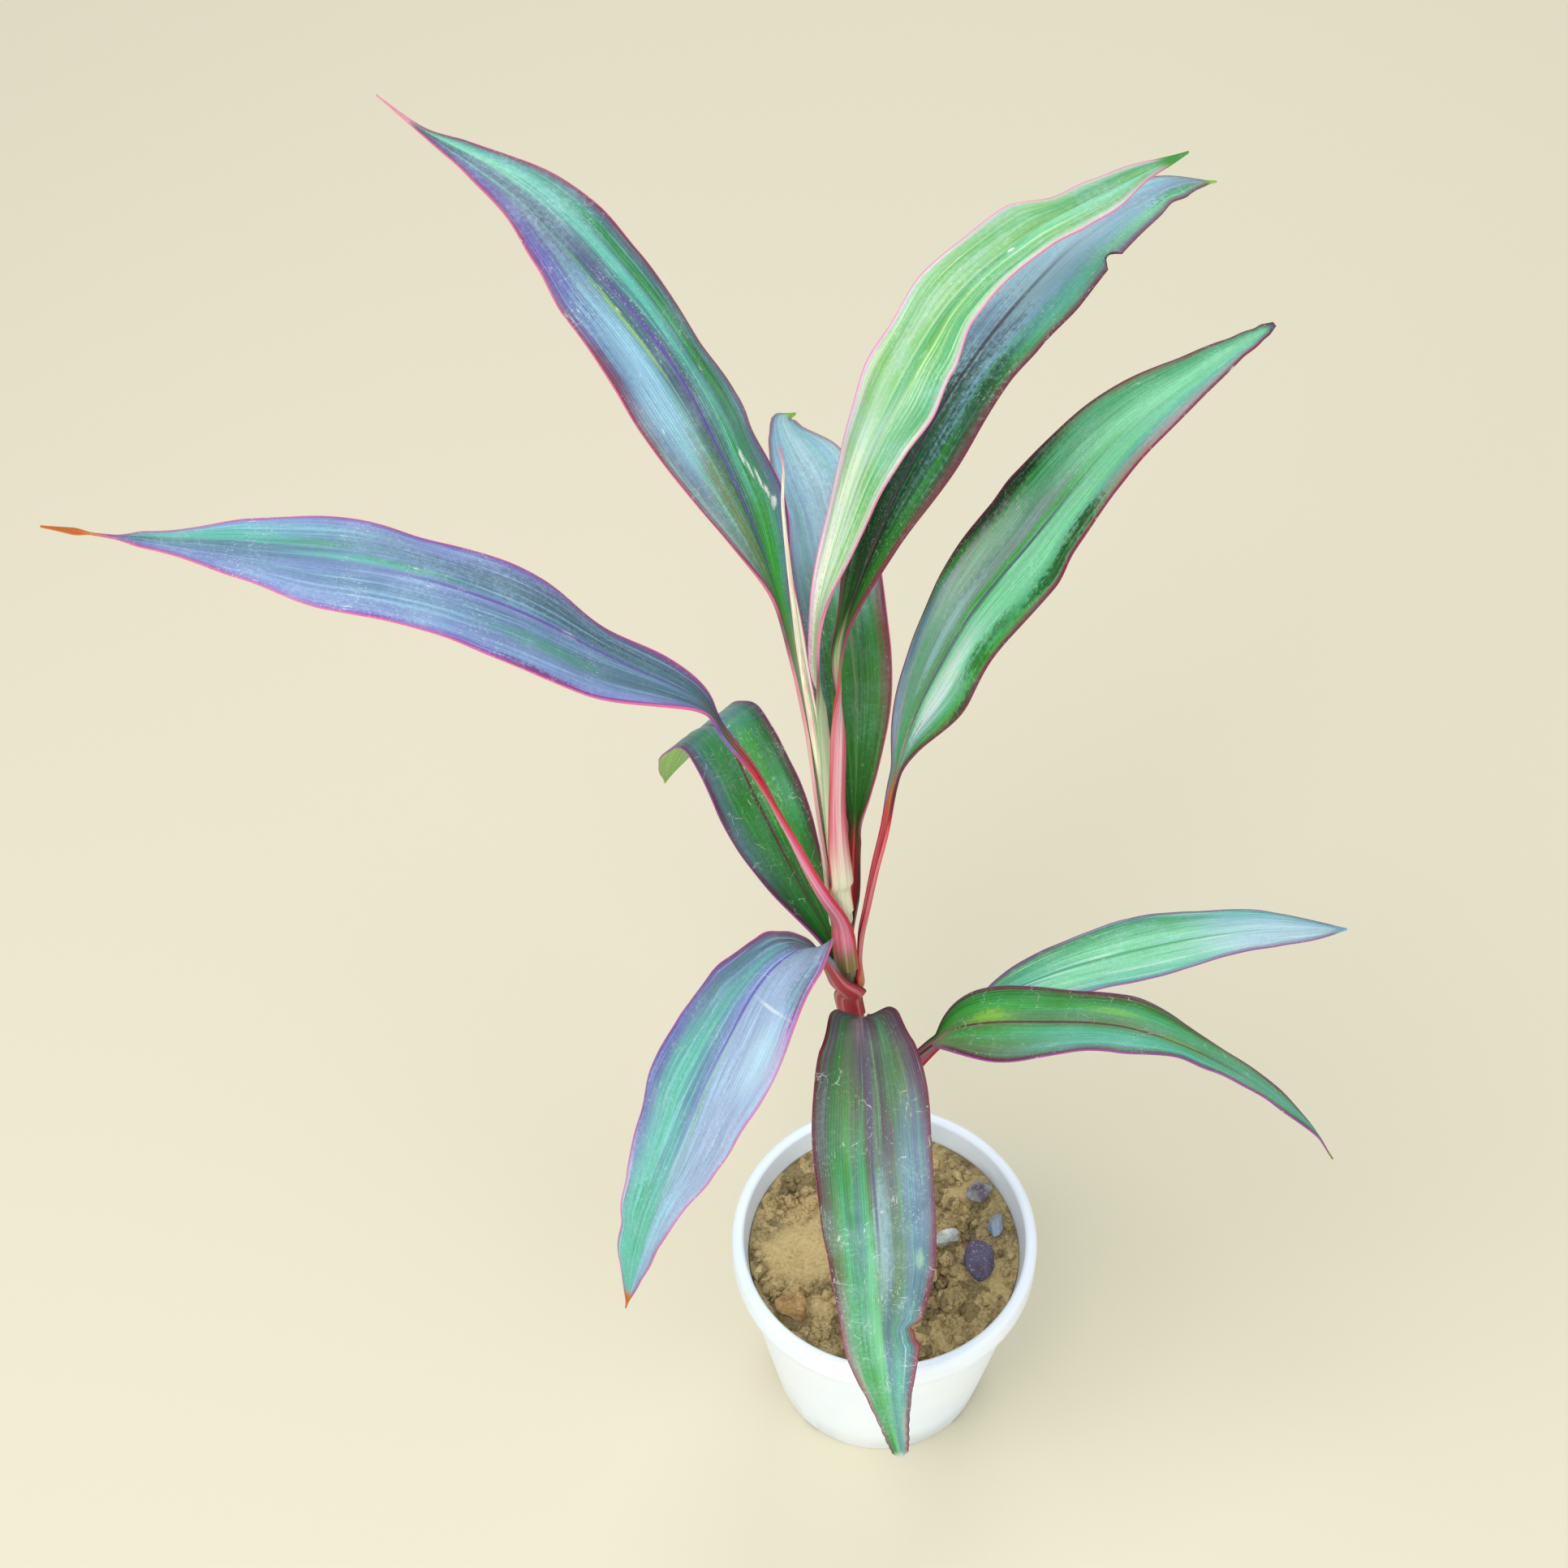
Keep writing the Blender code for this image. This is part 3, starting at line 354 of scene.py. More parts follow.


# Lavender, haze, sky and ice in these bands and marks are partly the leaves' own tint and partly
# painted sky reflection on their waxy upper sides
LOOKS = {
    "leaf_far_left": Look(
        foot="violet, 0.08 lavender, 0.26 slate, 0.47 steel, 0.56 slate, 0.75 slate, 0.92 dusk, "
             "maroon",
        middle="violet, 0.07 lavender, 0.3 steel, 0.47 lavender, 0.55 steel, 0.72 steel, "
               "0.88 lavender, violet",
        end="lavender, 0.3 lavender, 0.5 steel, 0.62 slate, 0.8 teal, sky",
        outer="crimson, 0.3 rose, 0.5 pink, 0.7 rose, crimson",
        channel="crimson", throat="olive", collar=13, sheath="olive", hem="crimson",
        under="dusk", vein="sky", rib="violet",
        rim="rose", edge="magenta", tip="ochre", rib_end=0.62, tip_from=0.915, dust=0.9,
        marks=((0.565, 0.56, 0.11, 0.04, "teal", 0.6), (0.645, 0.67, 0.08, 0.05, "jade", 0.5),
               (0.49, 0.58, 0.07, 0.03, "jade", 0.4), (0.32, 0.72, 0.16, 0.16, "night", 0.35),
               (0.286, 0.27, 0.1, 0.07, "jade", 0.35), (0.29, 0, 0.07, 0.06, "wine", 0.95),
               (0.76, 0.75, 0.1, 0.12, "teal", 0.5), (0.262, 0.5, 0.012, 0.03, "pearl", 0.6))),
    "leaf_upper_left": Look(
        foot="maroon, 0.07 ash, 0.22 moss, 0.36 olive, 0.47 leaf, 0.53 leaf, 0.62 green, "
             "0.72 jade, 0.88 steel, violet",
        middle="maroon, 0.07 dusk, 0.16 steel, 0.3 sky, 0.4 slate, 0.48 dusk, 0.55 slate, "
               "0.64 teal, 0.72 slate, 0.8 leaf, 0.9 slate, maroon",
        end="magenta, 0.12 violet, 0.28 dusk, 0.42 slate, 0.54 slate, 0.64 mint, 0.76 teal, "
            "0.9 slate, maroon",
        outer="rose, 0.25 pink, 0.5 blush, 0.7 cream, pink",
        channel="pale", throat="green", collar=95, sheath="milk", hem="pink",
        under="moss", vein="teal", rib="violet",
        rim="rose", edge="maroon", tip="pink", rib_end=0.72, tip_from=0.93, dust=0.7,
        marks=((0.53, 0.385, 0.1, 0.02, "lime", 0.6), (0.6, 0.67, 0.2, 0.05, "teal", 0.6),
               (0.64, 0.1, 0.13, 0.1, "violet", 0.5), (0.72, 0.35, 0.1, 0.08, "plum", 0.4),
               (0.626, 0.82, 0.07, 0.04, "leaf", 0.8), (0.45, 0.77, 0.16, 0.04, "green", 0.7),
               (0.2, 0.3, 0.12, 0.12, "olive", 0.8), (0.38, 0.2, 0.12, 0.12, "sky", 0.5),
               (0.1, 0.62, 0.12, 0.06, "green", 0.8), (0.02, 0.5, 0.1, 0.4, "green", 0.8),
               (0.262, 0.675, 0.014, 0.018, "pearl", 1), (0.242, 0.7, 0.018, 0.014, "pearl", 1),
               (0.215, 0.745, 0.02, 0.02, "pearl", 1), (0.192, 0.775, 0.014, 0.026, "pearl", 1),
               (0.17, 0.82, 0.01, 0.045, "pearl", 1))),
    "leaf_crown_pale": Look(
        foot="lilac, 0.1 blush, 0.22 pearl, 0.36 cream, 0.5 pale, 0.62 pale, 0.8 apple, 0.95 pale, "
             "maroon",
        middle="lilac, 0.05 pale, 0.2 apple, 0.34 pale, 0.46 apple, 0.52 jade, 0.62 apple, "
               "0.86 jade, pale",
        end="pale, 0.25 jade, 0.45 apple, 0.53 jade, 0.6 mint, 0.8 apple, pale",
        outer="lilac, 0.25 blush, 0.5 cream, 0.8 pale, brown",
        channel="olive", throat="olive", collar=130, sheath="milk", hem="pale",
        under="moss", vein="cream", rib="pale",
        rim="rose", edge="lilac", tip="green", rib_end=0.85, tip_from=0.95, edge_width=2.0,
        dust=0.5, haze=0.3,
        marks=((0.2, 0.12, 0.26, 0.14, "lilac", 0.7), (0.2, 0.5, 0.22, 0.3, "pearl", 0.45),
               (0.42, 0.62, 0.16, 0.04, "apple", 0.5), (0.2, 0.5, 0.2, 0.025, "cream", 0.7),
               (0.3, 0.38, 0.14, 0.02, "moss", 0.2), (0.64, 0.56, 0.14, 0.008, "moss", 0.5),
               (0.697, 0.57, 0.006, 0.04, "pearl", 1), (0.1, 0.97, 0.14, 0.05, "brown", 0.9),
               (0.03, 0.5, 0.1, 0.35, "olive", 0.4))),
    "leaf_crown_dark": Look(
        # The ice and sky in its middle and end bands and its ice patch are partly its own bluish
        # tint, and partly painted sky reflection and painted light where the blade faces away from
        # the lamps
        foot="wine, 0.08 deep, 0.35 deep, 0.5 night, 0.62 deep, 0.8 leaf, 0.94 brown, maroon",
        middle="haze, 0.1 ice, 0.35 sky, 0.55 ice, 0.7 sky, 0.88 jade, maroon",
        end="ice, 0.3 sky, 0.5 haze, 0.7 sky, 0.86 mint, violet",
        outer="wine, 0.2 rose, 0.45 blush, 0.7 pink, crimson",
        channel="pink", throat="pale", collar=34, sheath="milk", hem="crimson",
        under="leaf", vein="green", rib="plum",
        rim="maroon", edge="maroon", tip="lime", rib_end=0.75, dust=1.0, spots=0.3, haze=0.1,
        marks=((0.3, 0.45, 0.2, 0.5, "deep", 0.85), (0.2, 0.35, 0.16, 0.3, "night", 0.5),
               (0.4, 0.84, 0.12, 0.14, "deep", 0.9), (0.62, 0.35, 0.16, 0.24, "ice", 0.6),
               (0.5, 0.45, 0.06, 0.2, "lavender", 0.5), (0.13, 0.52, 0.12, 0.05, "wine", 0.8),
               (0.3, 0.95, 0.18, 0.06, "brown", 0.8), (0.6, 0.86, 0.1, 0.1, "teal", 0.7),
               (0.3, 0.78, 0.1, 0.04, "green", 0.8), (0.15, 0.8, 0.12, 0.1, "leaf", 0.7),
               (0.88, 0.75, 0.07, 0.12, "green", 0.7))),
    "leaf_upper_right": Look(
        # The ice in its foot band and its pale pearl and ice patches are painted whitish sheen
        foot="dusk, 0.06 lavender, 0.18 ash, 0.34 jade, 0.47 moss, 0.54 mint, 0.7 ice, 0.82 jade, "
             "0.93 green, wine",
        middle="night, 0.05 leaf, 0.1 leaf, 0.2 jade, 0.38 ash, 0.47 green, 0.54 mint, 0.74 mint, "
               "0.86 jade, 0.96 green, maroon",
        end="maroon, 0.05 moss, 0.14 jade, 0.4 mint, 0.55 mint, 0.8 teal, rose",
        outer="crimson, 0.5 rose, crimson",
        channel="crimson", throat="ochre", collar=12, sheath="ochre", hem="crimson",
        under="leaf", vein="ash", rib="dusk",
        rim="maroon", edge="wine", tip="plum", rib_end=0.75, tip_from=0.985, edge_width=1.6,
        dust=0.6, spots=0.25, haze=0.12,
        marks=((0.6, 0.86, 0.06, 0.09, "deep", 0.95), (0.52, 0.88, 0.08, 0.08, "deep", 0.9),
               (0.323, 0.86, 0.05, 0.1, "leaf", 0.9), (0.395, 0.84, 0.04, 0.06, "leaf", 0.8),
               (0.53, 0.05, 0.13, 0.07, "night", 0.85), (0.4, 0.2, 0.14, 0.12, "pearl", 0.3),
               (0.3, 0.36, 0.12, 0.05, "ice", 0.4), (0.66, 0.64, 0.12, 0.08, "mint", 0.9),
               (0.46, 0.64, 0.12, 0.07, "mint", 0.9), (0.22, 0.66, 0.12, 0.1, "pearl", 0.5),
               (0.25, 0.05, 0.1, 0.06, "lavender", 0.4), (0.05, 0.5, 0.1, 0.25, "jade", 0.8),
               (0.25, 0.96, 0.06, 0.05, "night", 0.8), (0.03, 0.5, 0.1, 0.05, "pink", 0.8))),
    "leaf_back_hooked": Look(
        foot="night, 0.3 deep, 0.5 leaf, 0.8 deep, 0.94 leaf, maroon",
        middle="slate, 0.2 deep, 0.4 leaf, 0.6 deep, 0.8 leaf, 0.93 brown, maroon",
        end="haze, 0.2 sky, 0.5 ice, 0.8 sky, ice",
        outer="wine, 0.3 crimson, 0.6 ochre, wine",
        channel="crimson", throat="crimson", collar=10, sheath="rust", hem="wine",
        under="leaf", vein="green", rib="moss",
        rim="rose", edge="wine", tip="lime", tip_from=0.975, dust=0.5, spots=0.3, haze=0.12,
        marks=((0.72, 0.5, 0.14, 0.5, "haze", 0.5),)),
    "leaf_back_folded": Look(
        foot="wine, 0.14 deep, 0.4 leaf, 0.55 deep, 0.85 leaf, wine",
        middle="plum, 0.1 slate, 0.3 leaf, 0.52 leaf, 0.7 green, 0.9 deep, wine",
        end="plum, 0.2 steel, 0.5 slate, 0.8 teal, violet",
        outer="wine, 0.5 crimson, maroon",
        channel="crimson", throat="wine", collar=10, sheath="crimson", hem="wine",
        under="lime", vein="green", rib="wine",
        rim="magenta", edge="wine", tip="lime", dust=0.7, scuff=0.5, haze=0.12,
        marks=((0.62, 0.6, 0.1, 0.4, "steel", 0.7), (0.35, 0.82, 0.12, 0.08, "jade", 0.6))),
    "leaf_drooping_left": Look(
        foot="magenta, 0.08 haze, 0.45 haze, 0.52 lavender, 0.62 steel, 0.88 slate, maroon",
        middle="lilac, 0.06 haze, 0.46 haze, 0.5 lavender, 0.56 steel, 0.68 teal, 0.88 steel, "
               "violet",
        end="lilac, 0.1 haze, 0.35 sky, 0.52 teal, 0.75 teal, 0.92 teal, lilac",
        outer="wine, 0.4 crimson, 0.75 maroon, wine",
        channel="crimson", throat="crimson", collar=30, sheath="crimson", hem="wine",
        under="steel", vein="sky", rib="violet",
        rim="rose", edge="violet", tip="ochre", rib_end=0.5, tip_from=0.955, edge_width=1.4,
        dust=0.6, scuff=0.3, haze=0.15,
        marks=((0.216, 0.26, 0.004, 0.2, "pearl", 0.5), (0.17, 0.1, 0.05, 0.09, "slate", 0.6),
               (0.3, 0.18, 0.1, 0.1, "ice", 0.4), (0.5, 0.77, 0.16, 0.14, "teal", 0.5),
               (0.06, 0.7, 0.07, 0.3, "plum", 0.6), (0.5, 0.47, 0.2, 0.04, "mint", 0.3),
               (0.75, 0.6, 0.12, 0.2, "jade", 0.35))),
    "leaf_drooping_front": Look(
        foot="wine, 0.08 plum, 0.22 moss, 0.36 plum, 0.46 moss, 0.52 plum, 0.64 moss, 0.8 leaf, "
             "0.92 plum, wine",
        middle="maroon, 0.08 slate, 0.2 steel, 0.32 moss, 0.42 slate, 0.53 moss, 0.6 jade, "
               "0.7 slate, 0.8 jade, 0.9 moss, wine",
        end="rose, 0.08 slate, 0.3 teal, 0.44 steel, 0.54 mint, 0.7 green, 0.86 jade, pink",
        outer="wine, 0.5 maroon, wine",
        channel="plum", throat="plum", collar=12, sheath="wine", hem="wine",
        under="moss", vein="jade", rib="dusk",
        rim="maroon", edge="wine", tip="pearl", rib_end=0.55, tip_from=0.985, dust=0.9, scuff=0.7,
        spots=0.7,
        marks=((0.03, 0.5, 0.08, 0.5, "plum", 0.6), (0.08, 0.3, 0.1, 0.1, "leaf", 0.4),
               (0.14, 0.72, 0.12, 0.1, "moss", 0.6), (0.3, 0.72, 0.16, 0.04, "green", 0.5),
               (0.54, 0.6, 0.2, 0.1, "mint", 0.5), (0.3, 0.16, 0.16, 0.14, "steel", 0.6),
               (0.46, 0.14, 0.02, 0.04, "pale", 0.5), (0.63, 0, 0.06, 0.07, "rust", 0.7),
               (0.42, 0.46, 0.16, 0.07, "ice", 0.4), (0.66, 0.78, 0.12, 0.06, "green", 0.6),
               (0.72, 0.2, 0.14, 0.012, "ice", 0.6), (0.83, 0.5, 0.1, 0.2, "jade", 0.5),
               (0.92, 0.15, 0.1, 0.1, "blush", 0.5))),
    "leaf_right_pale": Look(
        foot="maroon, 0.15 jade, 0.5 teal, 0.8 mint, maroon",
        middle="slate, 0.1 jade, 0.4 mint, 0.7 mint, teal",
        end="teal, 0.3 sky, 0.6 ice, 0.9 ice, lilac",
        outer="crimson, 0.4 rose, 0.6 pink, crimson",
        channel="pink", throat="rose", collar=8, sheath="maroon", hem="wine",
        under="jade", vein="pearl", rib="jade",
        rim="magenta", edge="slate", tip="sky", dust=0.7,
        marks=((0.8, 0.6, 0.2, 0.4, "ice", 0.7), (0.3, 0.7, 0.14, 0.1, "mint", 0.6))),
    "leaf_right_low": Look(
        foot="wine, 0.12 leaf, 0.3 green, 0.5 moss, 0.62 green, 0.85 moss, wine",
        middle="wine, 0.1 leaf, 0.3 jade, 0.5 moss, 0.62 jade, 0.85 teal, wine",
        end="maroon, 0.2 jade, 0.5 teal, 0.8 jade, plum",
        outer="wine, 0.4 crimson, 0.7 rose, maroon",
        channel="pink", throat="rose", collar=8, sheath="maroon", hem="wine",
        under="leaf", vein="jade", rib="wine",
        rim="magenta", edge="wine", tip="olive", dust=0.7, scuff=0.4, spots=0.7, haze=0.12,
        marks=((0.25, 0.25, 0.14, 0.12, "green", 0.6), (0.4, 0.7, 0.14, 0.12, "teal", 0.5),
               (0.16, 0.4, 0.06, 0.1, "lime", 0.5), (0.42, 0.3, 0.07, 0.07, "lime", 0.4),
               (0.55, 0.5, 0.06, 0.06, "lime", 0.35))),
}


def tone(name):
    """A named colour as linear light."""
    screen = np.array(TONES[name]) / 255
    light = np.where(screen < 0.04045, screen / 12.92, ((screen + 0.055) / 1.055) ** 2.4)
    return (*(float(channel) for channel in light), 1.0)


class Wire:
    """A shader socket that Python's arithmetic extends with Math nodes."""

    def __init__(self, paint, socket):
        self.paint = paint
        self.socket = socket

    def __add__(self, other):
        return self.paint.maths("ADD", self, other)

    def __radd__(self, other):
        return self.paint.maths("ADD", other, self)

    def __sub__(self, other):
        return self.paint.maths("SUBTRACT", self, other)

    def __rsub__(self, other):
        return self.paint.maths("SUBTRACT", other, self)

    def __mul__(self, other):
        return self.paint.maths("MULTIPLY", self, other)

    def __rmul__(self, other):
        return self.paint.maths("MULTIPLY", other, self)

    def __truediv__(self, other):
        return self.paint.maths("DIVIDE", self, other)

    def __rtruediv__(self, other):
        return self.paint.maths("DIVIDE", other, self)

    def __abs__(self):
        return self.paint.maths("ABSOLUTE", self)


class Paint:
    """The node tree of one finish, which ends in a Principled shader."""

    def __init__(self, name):
        self.material = bpy.data.materials.new(name)
        self.material.use_nodes = True
        self.tree = self.material.node_tree
        self.shader = self.tree.nodes["Principled BSDF"]

    def node(self, kind, sockets=(), settings=(), output=0):
        """Add a node: its settings first, then the values or links of its sockets."""
        made = self.tree.nodes.new(kind)
        for key, value in dict(settings).items():
            if key == "stops":
                self.set_stops(made.color_ramp, value)
            else:
                setattr(made, key, value)
        for key, value in dict(sockets).items():
            self.feed(made.inputs[key], value)
        return Wire(self, made.outputs[output])

    def feed(self, socket, value):
        """Link a wire to a socket, or set its value."""
        if isinstance(value, Wire):
            self.tree.links.new(value.socket, socket)
        else:
            socket.default_value = value

    def set_stops(self, ramp, stops):
        """Fill a colour ramp with (position, colour) pairs."""
        while len(ramp.elements) < len(stops):
            ramp.elements.new(1.0)
        for element, (position, colour) in zip(ramp.elements, stops):
            element.position = position
            element.color = colour

    def maths(self, operation, *values):
        """A Math node on wires and numbers."""
        return self.node("ShaderNodeMath", enumerate(values), {"operation": operation})

    def clamp(self, value):
        """Hold a value between 0 and 1."""
        return self.node("ShaderNodeClamp", {"Value": value})

    def smooth(self, value, low, high):
        """0 at low, 1 at high and smooth between them, whichever of the two is larger."""
        return self.node("ShaderNodeMapRange", {"Value": value, "From Min": low, "From Max": high},
                         {"interpolation_type": "SMOOTHSTEP"})

    def mix(self, factor, first, second):
        """Mix two colours."""
        return self.node("ShaderNodeMix", {0: factor, 6: first, 7: second},
                         {"data_type": "RGBA"}, output=2)

    def vector(self, x, y, z):
        """A vector from three numbers or wires."""
        return self.node("ShaderNodeCombineXYZ", {0: x, 1: y, 2: z})

    def split(self, vector):
        """A vector's three numbers."""
        made = self.node("ShaderNodeSeparateXYZ", {0: vector})
        return [Wire(self, socket) for socket in made.socket.node.outputs]

    def noise(self, place, scale, detail=3.0, roughness=0.55):
        """Cloudy noise from 0 to 1."""
        return self.node("ShaderNodeTexNoise", {"Vector": place, "Scale": scale, "Detail": detail,
                                                "Roughness": roughness})

    def cells(self, place, scale, feature="F1", output="Distance"):
        """Cell noise: distance to the nearest seed, or to the cell's edge, or its colour."""
        return self.node("ShaderNodeTexVoronoi", {"Vector": place, "Scale": scale},
                         {"feature": feature}, output)

    def warp(self, place, scale, reach):
        """Places pushed about by noise, by up to half of reach."""
        push = self.node("ShaderNodeTexNoise", {"Vector": place, "Scale": scale}, output="Color")
        push = self.node("ShaderNodeVectorMath", {0: push, 3: reach}, {"operation": "SCALE"})
        return self.node("ShaderNodeVectorMath", {0: place, 1: push}, {"operation": "ADD"})

    def ramp(self, value, stops):
        """Colours along a value."""
        return self.node("ShaderNodeValToRGB", {"Fac": value}, {"stops": stops})

    def shade(self, colour, strength):
        """Make a colour lighter or darker."""
        return self.node("ShaderNodeVectorMath", {0: colour, 3: strength}, {"operation": "SCALE"})

    def place(self):
        """Object coordinates, in metres."""
        return self.node("ShaderNodeTexCoord", output="Object")

    def relief(self, height, depth, strength=1.0):
        """Feed a bump of the given depth in metres to the shader's normal."""
        bump = self.node("ShaderNodeBump", {"Height": height, "Distance": depth,
                                            "Strength": strength})
        self.feed(self.shader.inputs["Normal"], bump)

    def set(self, **values):
        """Feed the shader's own sockets by their names, with _ for a space."""
        for name, value in values.items():
            self.feed(self.shader.inputs[name.replace("_", " ")], value)
        return self.material


def table(value, pairs):
    """Read a two-column table in millimetres at a value in metres."""
    at, size = np.transpose(pairs)
    return np.interp(value, at * MM, size * MM)


def ease(start, end, value):
    """0 before start, 1 after end, and smooth between them."""
    part = np.clip((value - start) / (end - start), 0, 1)
    return part * part * (3 - 2 * part)


def shoot_x(height):
    """Where the leaning shoot's axis is at a height."""
    return -LEAN * (height - LEAN_FROM)


def circle(radius, height, sides, middle=0.0):
    """Points of a level ring, with its middle on the X axis."""
    angle = np.arange(sides) * 2 * pi / sides
    ring = np.zeros((sides, 3))
    ring[:, 0] = middle + radius * np.cos(angle)
    ring[:, 1] = radius * np.sin(angle)
    ring[:, 2] = height
    return ring


def skin_rings(rings):
    """A closed body through a list of rings, with a face over the first and the last one."""
    body = bmesh.new()
    bmesh.ops.create_circle(body, cap_ends=True, radius=1.0, segments=len(rings[0]))
    loop = body.verts[:]
    edges = body.edges[:]
    for vert, point in zip(loop, rings[0]):
        vert.co = point
    for ring in rings[1:]:
        grown = bmesh.ops.extrude_edge_only(body, edges=edges)["geom"]
        fresh = {item for item in grown if isinstance(item, bmesh.types.BMVert)}
        edges = [item for item in grown if isinstance(item, bmesh.types.BMEdge)]
        edges = [edge for edge in edges if all(vert in fresh for vert in edge.verts)]
        loop = [next(edge.other_vert(vert) for edge in vert.link_edges
                     if edge.other_vert(vert) in fresh) for vert in loop]
        for vert, point in zip(loop, ring):
            vert.co = point
    body.faces.new(loop)
    bmesh.ops.recalc_face_normals(body, faces=body.faces)
    return body


def to_piece(name, body, material, slot, nodes=(), sharp_angle=40):
    """Turn a bmesh into a smooth-shaded piece that rides on the plant and takes the given finish."""
    mesh = bpy.data.meshes.new(name)
    body.to_mesh(mesh)
    body.free()
    mesh.shade_smooth()
    mesh.set_sharp_from_angle(angle=radians(sharp_angle))
    piece = bpy.data.objects.new(name, mesh)
    mesh.materials.append(material)
    bpy.context.scene.collection.objects.link(piece)
    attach(piece, "root")
    if nodes:
        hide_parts(*nodes)
    return piece


def pot_outside(height):
    """Radius of the pot's outer wall below the collar."""
    under = POT_HEIGHT - COLLAR_HEIGHT
    return BASE_RADIUS + (RIM_RADIUS - COLLAR_STEP - BASE_RADIUS) * height / under


def pot_inside(height):
    """Radius of the pot's inner wall, which is thickest behind the collar."""
    foot = pot_outside(FLOOR) - WALL
    return foot + (SOIL_EDGE_RADIUS + CLEAR - foot) * (height - FLOOR) / (SOIL_LEVEL - FLOOR)


def pot_profile():
    """The pot's section from the middle of its base, over the rim, to the middle of its floor."""
    under = POT_HEIGHT - COLLAR_HEIGHT
    rim = RIM_RADIUS
    top = POT_HEIGHT
    lip = 2.4 * MM
    arc = [(rim - lip + lip * np.cos(turn), top - lip + lip * np.sin(turn))
           for turn in np.radians((0, 15, 30, 45, 60, 75, 90))]
    mouth = 1.7 * MM
    inner = [(MOUTH_RADIUS + mouth - mouth * np.cos(turn), top - mouth + mouth * np.sin(turn))
             for turn in np.radians((90, 65, 40, 15, 0))]
    outside = [(pot_outside(part * under), part * under) for part in (0.01, 0.25, 0.5, 0.75, 0.97)]
    collar = [(pot_outside(under), under), (rim - 1.3 * MM, under + 0.1 * MM),
              (rim - 0.4 * MM, under + 0.4 * MM), (rim, under + 1.2 * MM), (rim, under + 4 * MM)]
    inside = [(pot_inside(height), height)
              for height in (SOIL_LEVEL, 0.75 * SOIL_LEVEL, 0.5 * SOIL_LEVEL, 2 * FLOOR)]
    foot = [(0.0, 0.0), (BASE_RADIUS - 6 * MM, 0.0), (BASE_RADIUS - 0.8 * MM, 0.0),
            (BASE_RADIUS - 0.2 * MM, 0.3 * MM)]
    floor = [(pot_inside(FLOOR) - 1.2 * MM, FLOOR), (0.0, FLOOR)]
    return foot + outside + collar + arc + inner + inside + floor


def chip_rim(body):
    """Nick the rim's outer edge where the real one is chipped."""
    for vert in body.verts:
        turn = np.degrees(np.arctan2(vert.co.y, vert.co.x)) % 360
        radius = Vector((vert.co.x, vert.co.y)).length
        high = ease(POT_HEIGHT - 5 * MM, POT_HEIGHT - 1 * MM, vert.co.z)
        if high == 0 or radius < MOUTH_RADIUS + 2 * MM:
            continue
        for middle, span, depth in RIM_CHIPS:
            reach = radians(abs(turn - middle)) * RIM_RADIUS / (span / 2 * MM)
            rough = 0.7 + 0.6 * noise.noise(vert.co * 900)
            dent = max(0.0, 1 - reach * reach) * depth * MM * rough * high
            vert.co.z -= dent
            vert.co.x *= 1 - 0.5 * dent / radius
            vert.co.y *= 1 - 0.5 * dent / radius


def pot_body():
    """The pot, turned from its section, with its rim chipped."""
    body = bmesh.new()
    points = [body.verts.new((radius, 0, height)) for radius, height in pot_profile()]
    edges = [body.edges.new(pair) for pair in zip(points, points[1:])]
    bmesh.ops.spin(body, geom=points + edges, axis=(0, 0, 1), cent=(0, 0, 0), dvec=(0, 0, 0),
                   angle=2 * pi, steps=POT_STEPS, use_merge=True)
    bmesh.ops.remove_doubles(body, verts=body.verts, dist=0.01 * MM)
    bmesh.ops.recalc_face_normals(body, faces=body.faces)
    chip_rim(body)
    return body


def bore_drains(piece):
    """Cut the drain holes and the low notches under the wall's foot."""
    cutter = bmesh.new()
    for turn in range(DRAINS):
        spot = Matrix.Rotation(2 * pi * (turn + 0.5) / DRAINS, 4, "Z")
        spot = spot @ Matrix.Translation((DRAIN_CIRCLE, 0, FLOOR / 2))
        bmesh.ops.create_cone(cutter, cap_ends=True, segments=32, radius1=DRAIN_RADIUS,
                              radius2=DRAIN_RADIUS, depth=3 * FLOOR, matrix=spot)
    for turn in range(FOOT_NOTCHES):
        spot = Matrix.Rotation(2 * pi * (turn + 0.54) / FOOT_NOTCHES, 4, "Z")
        spot = spot @ Matrix.Translation((BASE_RADIUS, 0, 0)) @ Matrix.Diagonal((*FOOT_NOTCH, 1))
        bmesh.ops.create_cube(cutter, size=1.0, matrix=spot)
    mesh = bpy.data.meshes.new("drain_cutter")
    cutter.to_mesh(mesh)
    cutter.free()
    tool = bpy.data.objects.new("drain_cutter", mesh)
    bpy.context.scene.collection.objects.link(tool)
    cut = piece.modifiers.new("drainage", "BOOLEAN")
    cut.operation = "DIFFERENCE"
    cut.object = tool
    shown = piece.evaluated_get(bpy.context.evaluated_depsgraph_get())
    piece.data = bpy.data.meshes.new_from_object(shown)
    piece.modifiers.clear()
    bpy.data.objects.remove(tool)


